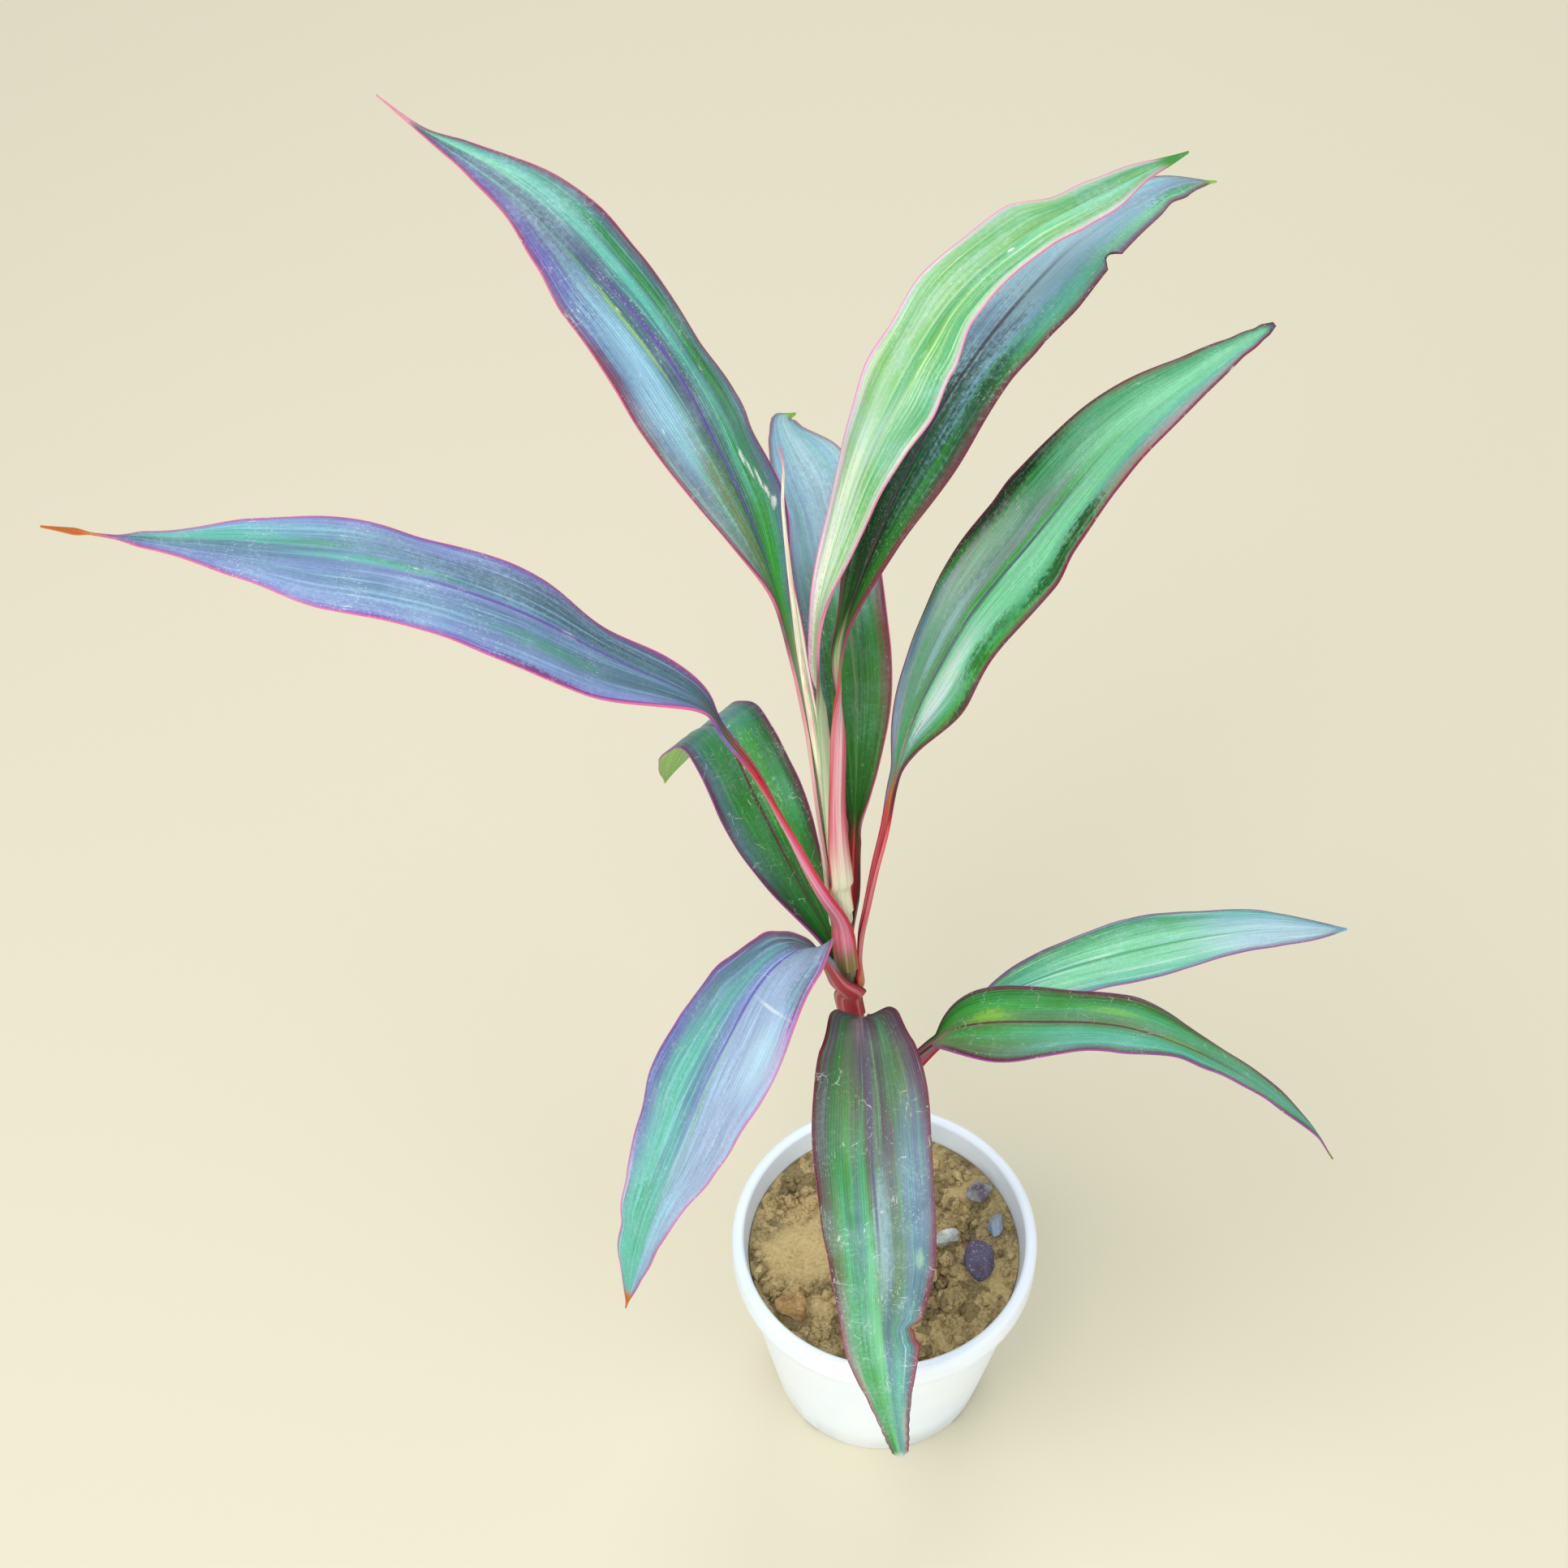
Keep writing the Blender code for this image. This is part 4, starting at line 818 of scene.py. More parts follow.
def plastic_finish(settings):
    """White moulded plastic: clouds of painted cool shade, scuffs on the collar, and grey clouds
    towards the foot.
    """
    paint = Paint("white_pot_plastic")
    place = paint.place()
    height = paint.split(place)[2]
    cloud = paint.noise(place, 28, 4)
    scuffs = paint.smooth(paint.noise(place, 420, 5, 0.7), 0.66, 0.74)
    low = paint.smooth(height, 0.02, 0.0) * paint.smooth(cloud, 0.35, 0.65)
    white = (*settings.plastic, 1.0)
    painted_cool_shade = (*settings.shade, 1.0)
    # Painted cool shade: clouds of a darker, bluer white over the plain white
    body = paint.mix(paint.smooth(cloud, 0.3, 0.75) * 0.5, white, painted_cool_shade)
    # Greyer in clouds towards the foot
    body = paint.mix(low * settings.dust, body, tone("grey"))
    body = paint.mix(scuffs * 0.10, body, tone("grey"))
    paint.relief(paint.noise(place, 160, 3) + scuffs * 0.4, 0.05 * MM)
    paint.set(Coat_Weight=0.15, Coat_Roughness=0.2)
    return paint.set(Base_Color=body, Roughness=settings.roughness + scuffs * 0.2 + cloud * 0.1)


def crumbs(x, y):
    """Height of the soil's crumbs and low swells over its level, by position."""
    fine = noise.noise(Vector((x, y, 0.0)) / (5.5 * MM) + Vector((3.1, 7.7, 0.4)))
    broad = noise.noise(Vector((x, y, 0.0)) / (19 * MM) + Vector((9.2, 1.3, 2.2)))
    return CRUMB_HEIGHT * (fine + 0.9 * broad)


def stone_seats():
    """Each stone's middle, reach and the level of the flat patch that it lies on."""
    for (x, y), half, _ in STONES.values():
        reach = max(half[:2]) * MM
        yield x * MM, y * MM, reach, SOIL_LEVEL + crumbs(x * MM, y * MM) - 0.5 * MM


def off_smooth_patch(x, y):
    """0 in the smooth hollow that pouring left in the soil, 1 well away from it."""
    return ease(0.7, 1.3, np.hypot(x - SMOOTH_PATCH[0], y - SMOOTH_PATCH[1]) / SMOOTH_PATCH[2])


def soil_height(x, y, grit=0.0):
    """The soil's top: crumbs and grit, with a hollow under each stone."""
    place = Vector((x, y, 0.0))
    height = SOIL_LEVEL + crumbs(x, y)
    rough = noise.noise(place / (2.1 * MM)) + 0.5 * noise.noise(place / (0.9 * MM))
    height += grit * rough * (0.25 + 0.75 * off_smooth_patch(x, y))
    for seat_x, seat_y, reach, level in stone_seats():
        away = max(np.hypot(x - seat_x, y - seat_y) - reach - STONE_SEAT_MARGIN, 0)
        height = min(height, level + STONE_SEAT_SLOPE * away)
    edge = ease(SOIL_EDGE_RADIUS, SOIL_EDGE_RADIUS - 4 * MM, np.hypot(x, y))
    return SOIL_LEVEL + (height - SOIL_LEVEL) * edge


def soil_body(settings):
    """The pot's filling: a gritty crumbly top, and a plain hole for the cane."""
    hole = table(CANE_FOOT, CANE_TAPER) + CLEAR
    rings = [circle(hole, z, SOIL_SIDES, shoot_x(z))
             for z in (CANE_FOOT - CLEAR, SOIL_LEVEL - 2 * MM)]
    for step in range(SOIL_RINGS + 1):
        part = step / SOIL_RINGS
        radius = hole + (SOIL_EDGE_RADIUS - hole) * part
        ring = circle(radius, SOIL_LEVEL, SOIL_SIDES, shoot_x(SOIL_LEVEL) * (1 - part))
        ring[:, 2] = [soil_height(x, y, settings.grit) for x, y, _ in ring]
        rings.append(ring)
    for height in (SOIL_LEVEL / 2, 2 * FLOOR, FLOOR + CLEAR):
        inset = CLEAR if height > FLOOR + CLEAR else 1.6 * MM
        rings.append(circle(pot_inside(height) - inset, height, SOIL_SIDES))
    return skin_rings(rings)


def soil_finish(settings):
    """Dry sandy loam: pale ochre crust, darker hollows, grains and a few white flecks."""
    paint = Paint("sandy_loam")
    place = paint.place()
    broad = paint.noise(place, 55, 5, 0.6)
    grain = paint.noise(place, 700, 6, 0.7)
    clods = paint.split(paint.cells(paint.warp(place, 200, 6 * MM), 150, output="Color"))[0]
    flecks = paint.cells(place, 230)
    patch = paint.node("ShaderNodeVectorMath", {0: place, 1: (*SMOOTH_PATCH[:2], SOIL_LEVEL)},
                       {"operation": "DISTANCE"}, "Value")
    away = paint.smooth(patch, 0.6 * SMOOTH_PATCH[2], 1.3 * SMOOTH_PATCH[2])
    damp = paint.smooth(broad, 0.36, 0.60) * (0.2 + away * 0.8)
    body = paint.mix(damp, (*settings.dry, 1.0), (*settings.damp, 1.0))
    body = paint.mix(paint.smooth(grain, 0.35, 0.62) * 0.65, body, (*settings.crust, 1.0))
    body = paint.mix(paint.smooth(grain, 0.40, 0.28) * 0.6, body, tone("brown"))
    body = paint.shade(body, 1 - paint.smooth(clods, 0.55, 0.75) * away * 0.45)
    body = paint.mix(paint.smooth(flecks, 0.16, 0.04) * 0.35, body, tone("cream"))
    paint.relief(grain + broad * 0.6, 0.9 * MM, 0.8)
    paint.set(Specular_IOR_Level=0.2)
    return paint.set(Base_Color=body, Roughness=0.97)


def stone_finish(name, light, dark, sharp):
    """Broken stone: two tones in clouds and grains, with rough relief."""
    paint = Paint(name)
    place = paint.place()
    cloud = paint.noise(place, 160, 5, 0.65)
    grain = paint.noise(place, 900, 4, 0.7)
    body = paint.mix(paint.smooth(cloud, 0.5 - sharp, 0.5 + sharp), tone(dark), tone(light))
    body = paint.mix(paint.smooth(grain, 0.55, 0.72) * 0.5, body, tone("cream"))
    paint.relief(cloud + grain * 0.5, 0.6 * MM, 0.8)
    return paint.set(Base_Color=body, Roughness=0.8)


def stone_body(name, seat):
    """A rough pebble with broken faces, flat below, in its hollow in the soil."""
    (x, y), half, turn = STONES[name]
    rng = np.random.default_rng(int(abs(x * 10 + y)))
    cuts = [(Vector(rng.normal(size=3)).normalized(), rng.uniform(0.66, 0.9))
            for _ in range(STONE_CUTS)]
    body = bmesh.new()
    bmesh.ops.create_icosphere(body, subdivisions=5, radius=1.0)
    for vert in body.verts:
        lump = 1 + 0.28 * noise.noise(vert.co * 1.3 + Vector((x, y, turn)))
        grit = 0.04 * noise.noise(vert.co * 6 + Vector((y, turn, x)))
        for normal, depth in cuts:
            vert.co -= normal * max(vert.co.dot(normal) - depth, 0)
        vert.co = Vector(np.multiply(vert.co, half)) * 1.1 * (lump + grit) * MM
        vert.co.z = max(vert.co.z, -0.45 * half[2] * MM)
    low = min(vert.co.z for vert in body.verts)
    place = Matrix.Translation((x * MM, y * MM, seat[3] + CLEAR - low))
    bmesh.ops.transform(body, matrix=place @ Matrix.Rotation(radians(turn), 4, "Z"),
                        verts=body.verts)
    bmesh.ops.smooth_vert(body, verts=body.verts, factor=0.5, use_axis_x=True, use_axis_y=True,
                          use_axis_z=True)
    return body


def scatter_crumbs(settings):
    """Loose crumbs and grit that lie on the soil, as one body of small rough lumps."""
    rng = np.random.default_rng(settings.seed)
    body = bmesh.new()
    stones = [(x, y, reach) for x, y, reach, _ in stone_seats()]
    for _ in range(settings.crumb_count):
        radius = (SOIL_EDGE_RADIUS - CRUMBS_OFF_WALL) * np.sqrt(rng.uniform(0.012, 1))
        angle = rng.uniform(0, 2 * pi)
        size = settings.crumb_size * rng.lognormal(-0.5, 0.55)
        stretch = rng.uniform(0.6, 1.1, 3)
        turn = Euler(rng.uniform(0, 2 * pi, 3))
        x, y = radius * np.cos(angle), radius * np.sin(angle)
        if any(np.hypot(x - sx, y - sy) < reach + size for sx, sy, reach in stones):
            continue
        if np.hypot(x - shoot_x(SOIL_LEVEL), y) < CRUMBS_OFF_AXIS + size:
            continue
        heap = 0.5 + noise.noise(Vector((x, y, 0.0)) / HEAP_SPAN + Vector((2.2, 5.1, 8.4)))
        if rng.uniform() > heap * off_smooth_patch(x, y):
            continue
        grown = bmesh.ops.create_icosphere(body, subdivisions=1, radius=1.0)["verts"]
        for vert in grown:
            vert.co *= 1 + 0.5 * noise.noise(vert.co * 1.4 + Vector((radius, angle, size)) * 50)
        spot = Matrix.Translation((x, y, soil_height(x, y) + 0.25 * size))
        spot = spot @ turn.to_matrix().to_4x4() @ Matrix.Diagonal((*(stretch * size), 1))
        bmesh.ops.transform(body, matrix=spot, verts=grown)
    return body


def cane_finish(settings):
    """Young bark: olive-brown, streaked along, with pale ring scars."""
    paint = Paint("olive_bark")
    place = paint.place()
    x, y, z = paint.split(place)
    streak = paint.noise(paint.vector(x, y, z * 0.12), 900, 4, 0.6)
    cloud = paint.noise(place, 90, 3)
    body = paint.mix(paint.smooth(streak, 0.38, 0.62), (*settings.bark, 1.0),
                     (*settings.young_bark, 1.0))
    body = paint.mix(paint.smooth(cloud, 0.5, 0.7) * 0.6, body, tone("grey"))
    paint.relief(streak, 0.4 * MM, 0.6)
    return paint.set(Base_Color=body, Roughness=0.7)


def cane_body():
    """The woody cane with its ring scars, leaning as the shoot does."""
    scars = np.arange(SOIL_LEVEL + 6 * MM, SCARS_END, SCAR_SPACING)
    rings = []
    for height in np.concatenate([np.linspace(CANE_FOOT, SCARS_END + 2 * MM, 220),
                                  np.linspace(SCARS_END + 3 * MM, CANE_TOP, 30)]):
        ridge = np.exp(-((height - scars) / (1.1 * MM)) ** 2).sum() * SCAR_HEIGHT
        ring = circle(1.0, height, CANE_SIDES)
        rough = [1 + 0.025 * noise.noise(Vector((*point[:2], height * 90)) * 1.7) for point in ring]
        radius = (table(height, CANE_TAPER) - 0.05 * MM + ridge) * np.array(rough)
        ring[:, :2] *= radius[:, None]
        ring[:, 0] += shoot_x(height)
        rings.append(ring)
    return skin_rings(rings)


def spear_finish(settings):
    """The rolled leaf's outside: pale pink with whitish and green lines that run up it."""
    paint = Paint("rolled_leaf")
    place = paint.place()
    x, y, z = paint.split(place)
    line = paint.noise(paint.vector(x + z * LEAN, y, z * 0.02), 1600, 3, 0.6)
    body = paint.mix(paint.smooth(line, 0.4, 0.6), (*settings.spear, 1.0), tone("cream"))
    body = paint.mix(paint.smooth(z, 420 * MM, 340 * MM) * 0.7, body, tone("pale"))
    body = paint.mix(paint.smooth(z, SPEAR_TIP - 18 * MM, SPEAR_TIP), body, tone("rose"))
    paint.relief(line, 0.2 * MM, 0.6)
    return paint.set(Base_Color=body, Roughness=0.45)


def smooth_path(points, count):
    """Evenly spaced points on a centripetal spline through the given ones, and its length."""
    p = np.vstack([2 * points[0] - points[1], points, 2 * points[-1] - points[-2]])
    spans = []
    for first in range(len(p) - 3):
        p0, p1, p2, p3 = p[first:first + 4]
        t0 = 0.0
        t1 = t0 + np.linalg.norm(p1 - p0) ** 0.5
        t2 = t1 + np.linalg.norm(p2 - p1) ** 0.5
        t3 = t2 + np.linalg.norm(p3 - p2) ** 0.5
        t = np.linspace(t1, t2, PATH_STEPS, endpoint=False)[:, None]
        a1 = p0 + (p1 - p0) * (t - t0) / (t1 - t0)
        a2 = p1 + (p2 - p1) * (t - t1) / (t2 - t1)
        a3 = p2 + (p3 - p2) * (t - t2) / (t3 - t2)
        b1 = a1 + (a2 - a1) * (t - t0) / (t2 - t0)
        b2 = a2 + (a3 - a2) * (t - t1) / (t3 - t1)
        spans.append(b1 + (b2 - b1) * (t - t1) / (t2 - t1))
    dense = np.vstack(spans + [p[-2:-1]])
    run = np.concatenate([[0], np.cumsum(np.linalg.norm(np.diff(dense, axis=0), axis=1))])
    even = np.linspace(0, run[-1], count)
    return np.stack([np.interp(even, run, dense[:, axis]) for axis in range(3)], 1), run[-1]


def spear_body():
    """The rolled young leaf: a scroll in section, with its free edge as a step up one side."""
    points = [(shoot_x(z * MM) + x * MM, y * MM, z * MM) for z, x, y in SPEAR_BEND]
    middle, _ = smooth_path(np.array(points), SPEAR_RINGS)
    angle = np.arange(SPEAR_SIDES) * 2 * pi / SPEAR_SIDES
    rings = []
    for x, y, height in middle:
        turned = (angle + (height - CANE_TOP) * 9) % (2 * pi)
        scroll = table(height, SPEAR_TAPER) * (0.86 + 0.14 * turned / (2 * pi))
        ring = circle(1.0, height, SPEAR_SIDES)
        ring[:, :2] *= scroll[:, None]
        ring[:, :2] += (x, y)
        rings.append(ring)
    return skin_rings(rings)


def seat_radius(leaf, height):
    """Distance from the shoot's axis to the middle of a leaf's sheath."""
    return table(height, COLUMN_TAPER) + leaf.layer * MM + SHEATH_GAP + STALK_SKIN / 2


def leaf_points(leaf):
    """A leaf's own points, up the shoot along its sheath and then out along its route."""
    node, leaves = leaf.node * MM, leaf.leaves * MM
    seat, heading = radians(leaf.seat), radians(leaf.heading)
    points = []
    for height in np.linspace(node, leaves, max(2, round((leaf.leaves - leaf.node) / 12) + 1)):
        radius = seat_radius(leaf, height)
        points.append((shoot_x(height) + radius * np.cos(seat), radius * np.sin(seat), height))
    for out, up, *side in leaf.route:
        aside = side[0] if side else 0.0
        points.append((shoot_x(leaves) + (out * np.cos(heading) - aside * np.sin(heading)) * MM,
                       (out * np.sin(heading) + aside * np.cos(heading)) * MM, leaves + up * MM))
    return np.array(points)


def blade_outline(part, leaf):
    """Share of the blade's half width at each part of its length."""
    part = np.clip(part, 0, 1)
    rise = np.sin(pi / 2 * np.clip(part / leaf.belly, 0, 1) ** leaf.base)
    fall = np.cos(pi / 2 * np.clip((part - leaf.belly) / (1 - leaf.belly), 0, 1) ** 1.25)
    return np.where(part < leaf.belly, rise, np.maximum(fall, 0) ** leaf.point)


def leaf_frames(leaf, middle, run, length):
    """Crossways and upward directions along a leaf, turned by its rolls."""
    hug, start = (leaf.leaves - leaf.node) * MM, leaf.petiole * MM
    tangent = np.gradient(middle, axis=0)
    tangent /= np.linalg.norm(tangent, axis=1)[:, None]
    turn = ease(hug + leaf.twist * (start - hug), max(start, hug + 20 * MM), run)
    azimuth = np.radians(leaf.seat + (leaf.heading - leaf.seat) * turn)
    level = np.stack([np.sin(azimuth), -np.cos(azimuth), 0 * run], 1)
    level -= tangent * (level * tangent).sum(1)[:, None]
    level /= np.linalg.norm(level, axis=1)[:, None]
    roll = np.radians(np.interp(run / length, np.linspace(0, 1, len(leaf.rolls)), leaf.rolls))
    roll = roll[:, None]
    crossways = level * np.cos(roll) + np.cross(level, tangent) * np.sin(roll)
    return crossways, np.cross(crossways, tangent)


def leaf_section(leaf, run, length):
    """Half width and arc of a leaf's cross-section along its length."""
    hug, start = (leaf.leaves - leaf.node) * MM, leaf.petiole * MM
    reach = length - start
    clasp, sheath = radians(leaf.clasp), leaf.sheath * MM
    seat = seat_radius(leaf, leaf.node * MM)
    arc = clasp + (leaf.stalk * MM / seat - clasp) * ease(0.3 * sheath, sheath, run)
    stalk = seat * arc * (1 - ease(start, start + 0.8 * reach, run))
    arc = arc + (1 - arc) * ease(hug, hug + 20 * MM, run)
    part = (run - start) / reach
    cup = np.interp(np.clip(part, 0, 1), np.linspace(0, 1, len(leaf.cups)), leaf.cups)
    arc = arc + (cup - arc) * ease(start - 6 * MM, start + 0.22 * reach, run)
    blade = np.where(part > 0, leaf.width / 2 * MM * blade_outline(part, leaf), 0)
    return np.cbrt(stalk ** 3 + blade ** 3) + MARGIN, arc


def edge_shares(part, leaf):
    """How far out the left and right edges run, as shares of the outline, along the blade."""
    at, *shares = np.transpose(leaf.edges)
    before = np.clip(np.searchsorted(at, part, side="right") - 1, 0, len(at) - 2)
    between = ease(at[before], at[before + 1], part)
    on_blade = ease(-FOOT_BLEND, 0, part)
    return [1 + (row[before] + (row[before + 1] - row[before]) * between - 1) * on_blade
            for row in shares]


def bitten(part, side, leaf, half):
    """Share of the width that the bites leave at each point of the sheet."""
    left = np.ones((len(part), len(side)))
    for middle, edge, span, depth in leaf.nicks:
        gape = np.clip(1 - (2 * (part - middle) / span) ** 2, 0, 1)
        cut = np.minimum(gape * depth * MM / half, 0.8)
        left -= cut[:, None] * np.clip(edge * side, 0, 1) ** 5
    return left


def blade_waves(leaf, rib_depth, part, side, run, length):
    """Lift of a blade's waved edges and pleats, less its midrib's groove."""
    start = leaf.petiole * MM
    reach = length - start
    lift = np.zeros((len(run), len(side)))
    ripple = WAVE * ease(start, start + 0.3 * reach, run) * (1 - ease(0.8 * length, length, run))
    for edge in (-1, 1):
        swing = np.sin(2 * pi * WAVES * part + edge * SIDE_LAG)
        frill = FRILL * np.sin(2 * pi * FRILLS * WAVES * part + edge * FRILL_LAG + leaf.heading)
        lift += (ripple * (swing + frill))[:, None] * np.clip(edge * side, 0, 1) ** 2
    groove = np.exp(-(side / 0.09) ** 2) * rib_depth
    pleat = PLEAT_DEPTH * np.cos(side * pi * PLEATS) * (1 - side ** 2)
    open_blade = ease(start, start + 0.15 * reach, run) * (1 - ease(0.85, 1.0, part))
    return lift - open_blade[:, None] * (groove - pleat)


def leaf_sheet(leaf, settings):
    """A leaf's middle sheet as a grid of points, with the skin's half thickness and the distance
    from the margin at each, and the leaf's length.
    """
    middle, length = smooth_path(leaf_points(leaf), settings.stations + 1)
    run = np.linspace(0, length, settings.stations + 1)
    start = leaf.petiole * MM
    reach = length - start
    part = (run - start) / reach
    crossways, upward = leaf_frames(leaf, middle, run, length)
    half, arc = leaf_section(leaf, run, length)
    side = np.linspace(-1, 1, settings.across + 1)
    left, right = edge_shares(part, leaf)
    share = np.where(side < 0, left[:, None], right[:, None]) * bitten(part, side, leaf, half)
    part = np.clip(part, 0, 1)
    bend = arc[:, None] * side
    aside = half[:, None] * side * np.sinc(bend / pi) * share
    lift = half[:, None] * side * bend / 2 * np.sinc(bend / 2 / pi) ** 2
    lift += blade_waves(leaf, settings.rib_depth, part, side, run, length)
    foot = np.where(run > start, 1 - ease(0, LOBE_END, part), 0)
    back = leaf.lobe * MM * (aside / (leaf.width / 2 * MM)) ** 2 * foot[:, None]
    forward = np.cross(upward, crossways)
    grid = middle[:, None] + crossways[:, None] * aside[..., None]
    grid += upward[:, None] * lift[..., None] - forward[:, None] * back[..., None]
    skin = STALK_SKIN + (settings.thickness - STALK_SKIN) * ease(start, start + 0.3 * reach, run)
    normal = np.cross(np.gradient(grid, axis=1), np.gradient(grid, axis=0))
    normal /= np.linalg.norm(normal, axis=2)[..., None]
    inward = (half[:, None] * share * (1 - abs(side))) / EDGE_UNIT
    return grid, normal * skin[:, None, None] / 2, inward, length


def leaf_body(leaf, settings):
    """Sheath, stalk and blade as one skin, with a map of where each point is on the leaf."""
    grid, offset, inward, length = leaf_sheet(leaf, settings)
    stations, across = settings.stations, settings.across
    body = bmesh.new()
    bmesh.ops.create_grid(body, x_segments=across, y_segments=stations, size=0.5)
    strap = body.verts.layers.float_vector.new("strap")
    through = body.verts.layers.float_vector.new("through")
    for vert in body.verts:
        station = round((vert.co.y + 0.5) * stations)
        place = round((vert.co.x + 0.5) * across)
        vert[strap] = (station / stations, place / across, inward[station, place])
        vert[through] = -2 * offset[station, place]
        vert.co = grid[station, place] + offset[station, place]
    top = set(body.verts)
    grown = bmesh.ops.extrude_face_region(body, geom=body.faces[:])["geom"]
    for vert in (item for item in grown if isinstance(item, bmesh.types.BMVert)):
        vert.co += vert[through]
    lay = body.loops.layers.uv.new("strap")
    edge = body.loops.layers.uv.new("edge")
    for face in body.faces:
        beneath = 0.0 if any(vert in top for vert in face.verts) else 1.0
        for loop in face.loops:
            along, across_part, depth = loop.vert[strap]
            loop[lay].uv = (along, across_part)
            loop[edge].uv = (depth, beneath)
    bmesh.ops.recalc_face_normals(body, faces=body.faces)
    return body, length


def stripes(band):
    """Stops of a band that is written as its colours from 0 to 1, with the places between."""
    first, *inner, last = (stop.split() for stop in band.split(", "))
    stops = [(0, *first), *((float(place), name) for place, name in inner), (1, *last)]
    return [(place, tone(name)) for place, name in stops]


class LeafPaint(Paint):
    """The finish of one leaf, painted by where a point lies on it.

    part, across         place along the blade, from its foot, 0, to its tip, 1, and across it
    away, inward         share of the way out from the midrib, and millimetres in from the margin
    run, beneath         millimetres from the sheath's foot, and 1 on the underside
    flow, half           place across the fanning veins, and a number for each half of the blade
    broad, streak,       noise drawn out along the veins, from the widest
    fine, hair           to the finest
    ribs, patch, speck   lines up the stalk, and clouds and grains on the whole leaf
    further              place along the blade, with ragged steps
    here                 place on the object, in metres
    """

    def __init__(self, name, length):
        super().__init__(name + "_skin")
        self.leaf = LEAVES[name]
        self.look = LOOKS[name]
        seed = float(list(LEAVES).index(name)) * 3.7
        along, self.across = self.map("strap")
        inward, self.beneath = self.map("edge")
        start = self.leaf.petiole * MM
        self.part = (along * length - start) / (length - start)
        self.run = along * (length / MM)
        self.inward = inward * (EDGE_UNIT / MM)
        side = self.across * 2 - 1
        self.away = abs(side)
        self.flow = self.away - self.part * VEIN_SPREAD
        self.half = self.maths("SIGN", side) * 5 + seed
        self.hair = self.streaks(9, 42, 0, 2, 0.6)
        self.fine = self.streaks(5, 18, 9, 3, 0.65)
        self.streak = self.streaks(3, 8, 17, 2, 0.55)
        self.broad = self.streaks(3.2, 3.2, 29, 2, 0.5)
        self.ribs = self.noise(self.vector(along * 3, self.across * 7, seed + 53), 1, 2, 0.6)
        self.here = self.place()
        self.patch = self.noise(self.here, 38, 3)
        self.speck = self.noise(self.here, 650, 2, 0.6)
        self.further = self.part + (self.broad - 0.5) * 0.5

    def map(self, layer):
        """The two coordinates of one of the leaf's maps."""
        return self.split(self.node("ShaderNodeUVMap", settings={"uv_map": layer}))[:2]

    def streaks(self, along, across, shift, detail, roughness):
        """Noise along the veins, with its own pattern on each leaf and each half of a blade."""
        place = self.vector(self.part * along, self.flow * across, self.half + shift)
        return self.noise(place, 1, detail, roughness)

    def blade(self):
        """Bands across the blade's three thirds, with patches, streaks and a painted pale sheen that
        stands for sky reflection.
        """
        look = self.look
        spread = self.across + (self.broad - 0.5) * 0.16 + (self.fine - 0.5) * 0.22
        foot, middle, end = (self.ramp(spread, stripes(band))
                             for band in (look.foot, look.middle, look.end))
        body = self.mix(self.smooth(self.further, 0.1, 0.42), foot, middle)
        body = self.mix(self.smooth(self.further, 0.52, 0.82), body, end)
        body = self.marks(body)
        # Streaks along the veins in the leaf's vein tone: the leaf's own streak colour where green or
        # teal, painted sheen lines where the tone is pale
        veins = self.smooth(self.streak + self.fine, 1.0, 1.3)
        body = self.mix(veins * 0.4, body, tone(look.vein))
        body = self.shade(body, self.hair * 0.6 + self.fine * 0.9 + self.streak * 0.2
                          + self.speck * 0.3)
        # Painted sheen: pale ice patches that stand for the sky reflected on the waxy leaf, fading
        # out at the foot
        painted_sheen = self.smooth(self.patch, 0.36, 0.7) * (0.6 + self.smooth(self.speck, 0.4, 0.65) * 0.6)
        painted_sheen = painted_sheen * self.smooth(self.part, 0.05, 0.4)
        return self.mix(painted_sheen * look.haze, body, tone("ice"))

    def marks(self, body):
        """Patches of other colours with ragged edges."""
        spot = self.vector(self.part, self.across, 0.0)
        ragged = (self.broad - 0.5) * 1.2 + (self.fine - 0.5) * 2 + (self.speck - 0.5) * 1.6
        for at, beside, along, across, colour, strength in self.look.marks:
            offset = self.node("ShaderNodeVectorMath", {0: spot, 1: (1 / along, 1 / across, 0),
                                                        2: (-at / along, -beside / across, 0)},
                               {"operation": "MULTIPLY_ADD"})
            apart = self.node("ShaderNodeVectorMath", {0: offset}, {"operation": "LENGTH"}, "Value")
            shape = self.smooth(apart + ragged, 1.25, 0.35)
            body = self.mix(shape * strength, body, tone(colour))
        return body

    def trim(self, body, margin):
        """The midrib, the tinted edge with its thin rim, the dry tip and the underside."""
        look, part = self.look, self.part
        rib = self.smooth(self.away * (self.leaf.width / 2) + (self.hair - 0.5) * 0.5, 0.85, 0.3)
        rib = rib * self.smooth(part, 0.0, 0.1) * self.smooth(part, look.rib_end, look.rib_end - 0.25)
        body = self.mix(rib * 0.85, body, tone(look.rib))
        edge = self.smooth(self.inward + (self.fine - 0.5) * 1.5, look.edge_width, 0.2)
        body = self.mix(edge * self.smooth(part, -0.05, 0.1) * 0.6, body, tone(look.edge))
        rim = self.smooth(self.inward + (self.patch - 0.5) * 0.4, margin + 0.12, margin - 0.12)
        body = self.mix(rim * self.smooth(part, -0.02, 0.06) * 0.8, body, tone(look.rim))
        tip = self.smooth(self.further * 0.05 + part * 0.95, look.tip_from - 0.01,
                          look.tip_from + 0.015)
        body = self.mix(tip, body, tone(look.tip))
        under = self.mix(self.smooth(self.streak, 0.42, 0.62) * 0.4, tone(look.under), tone("moss"))
        return self.mix(self.beneath * 0.85, body, under)

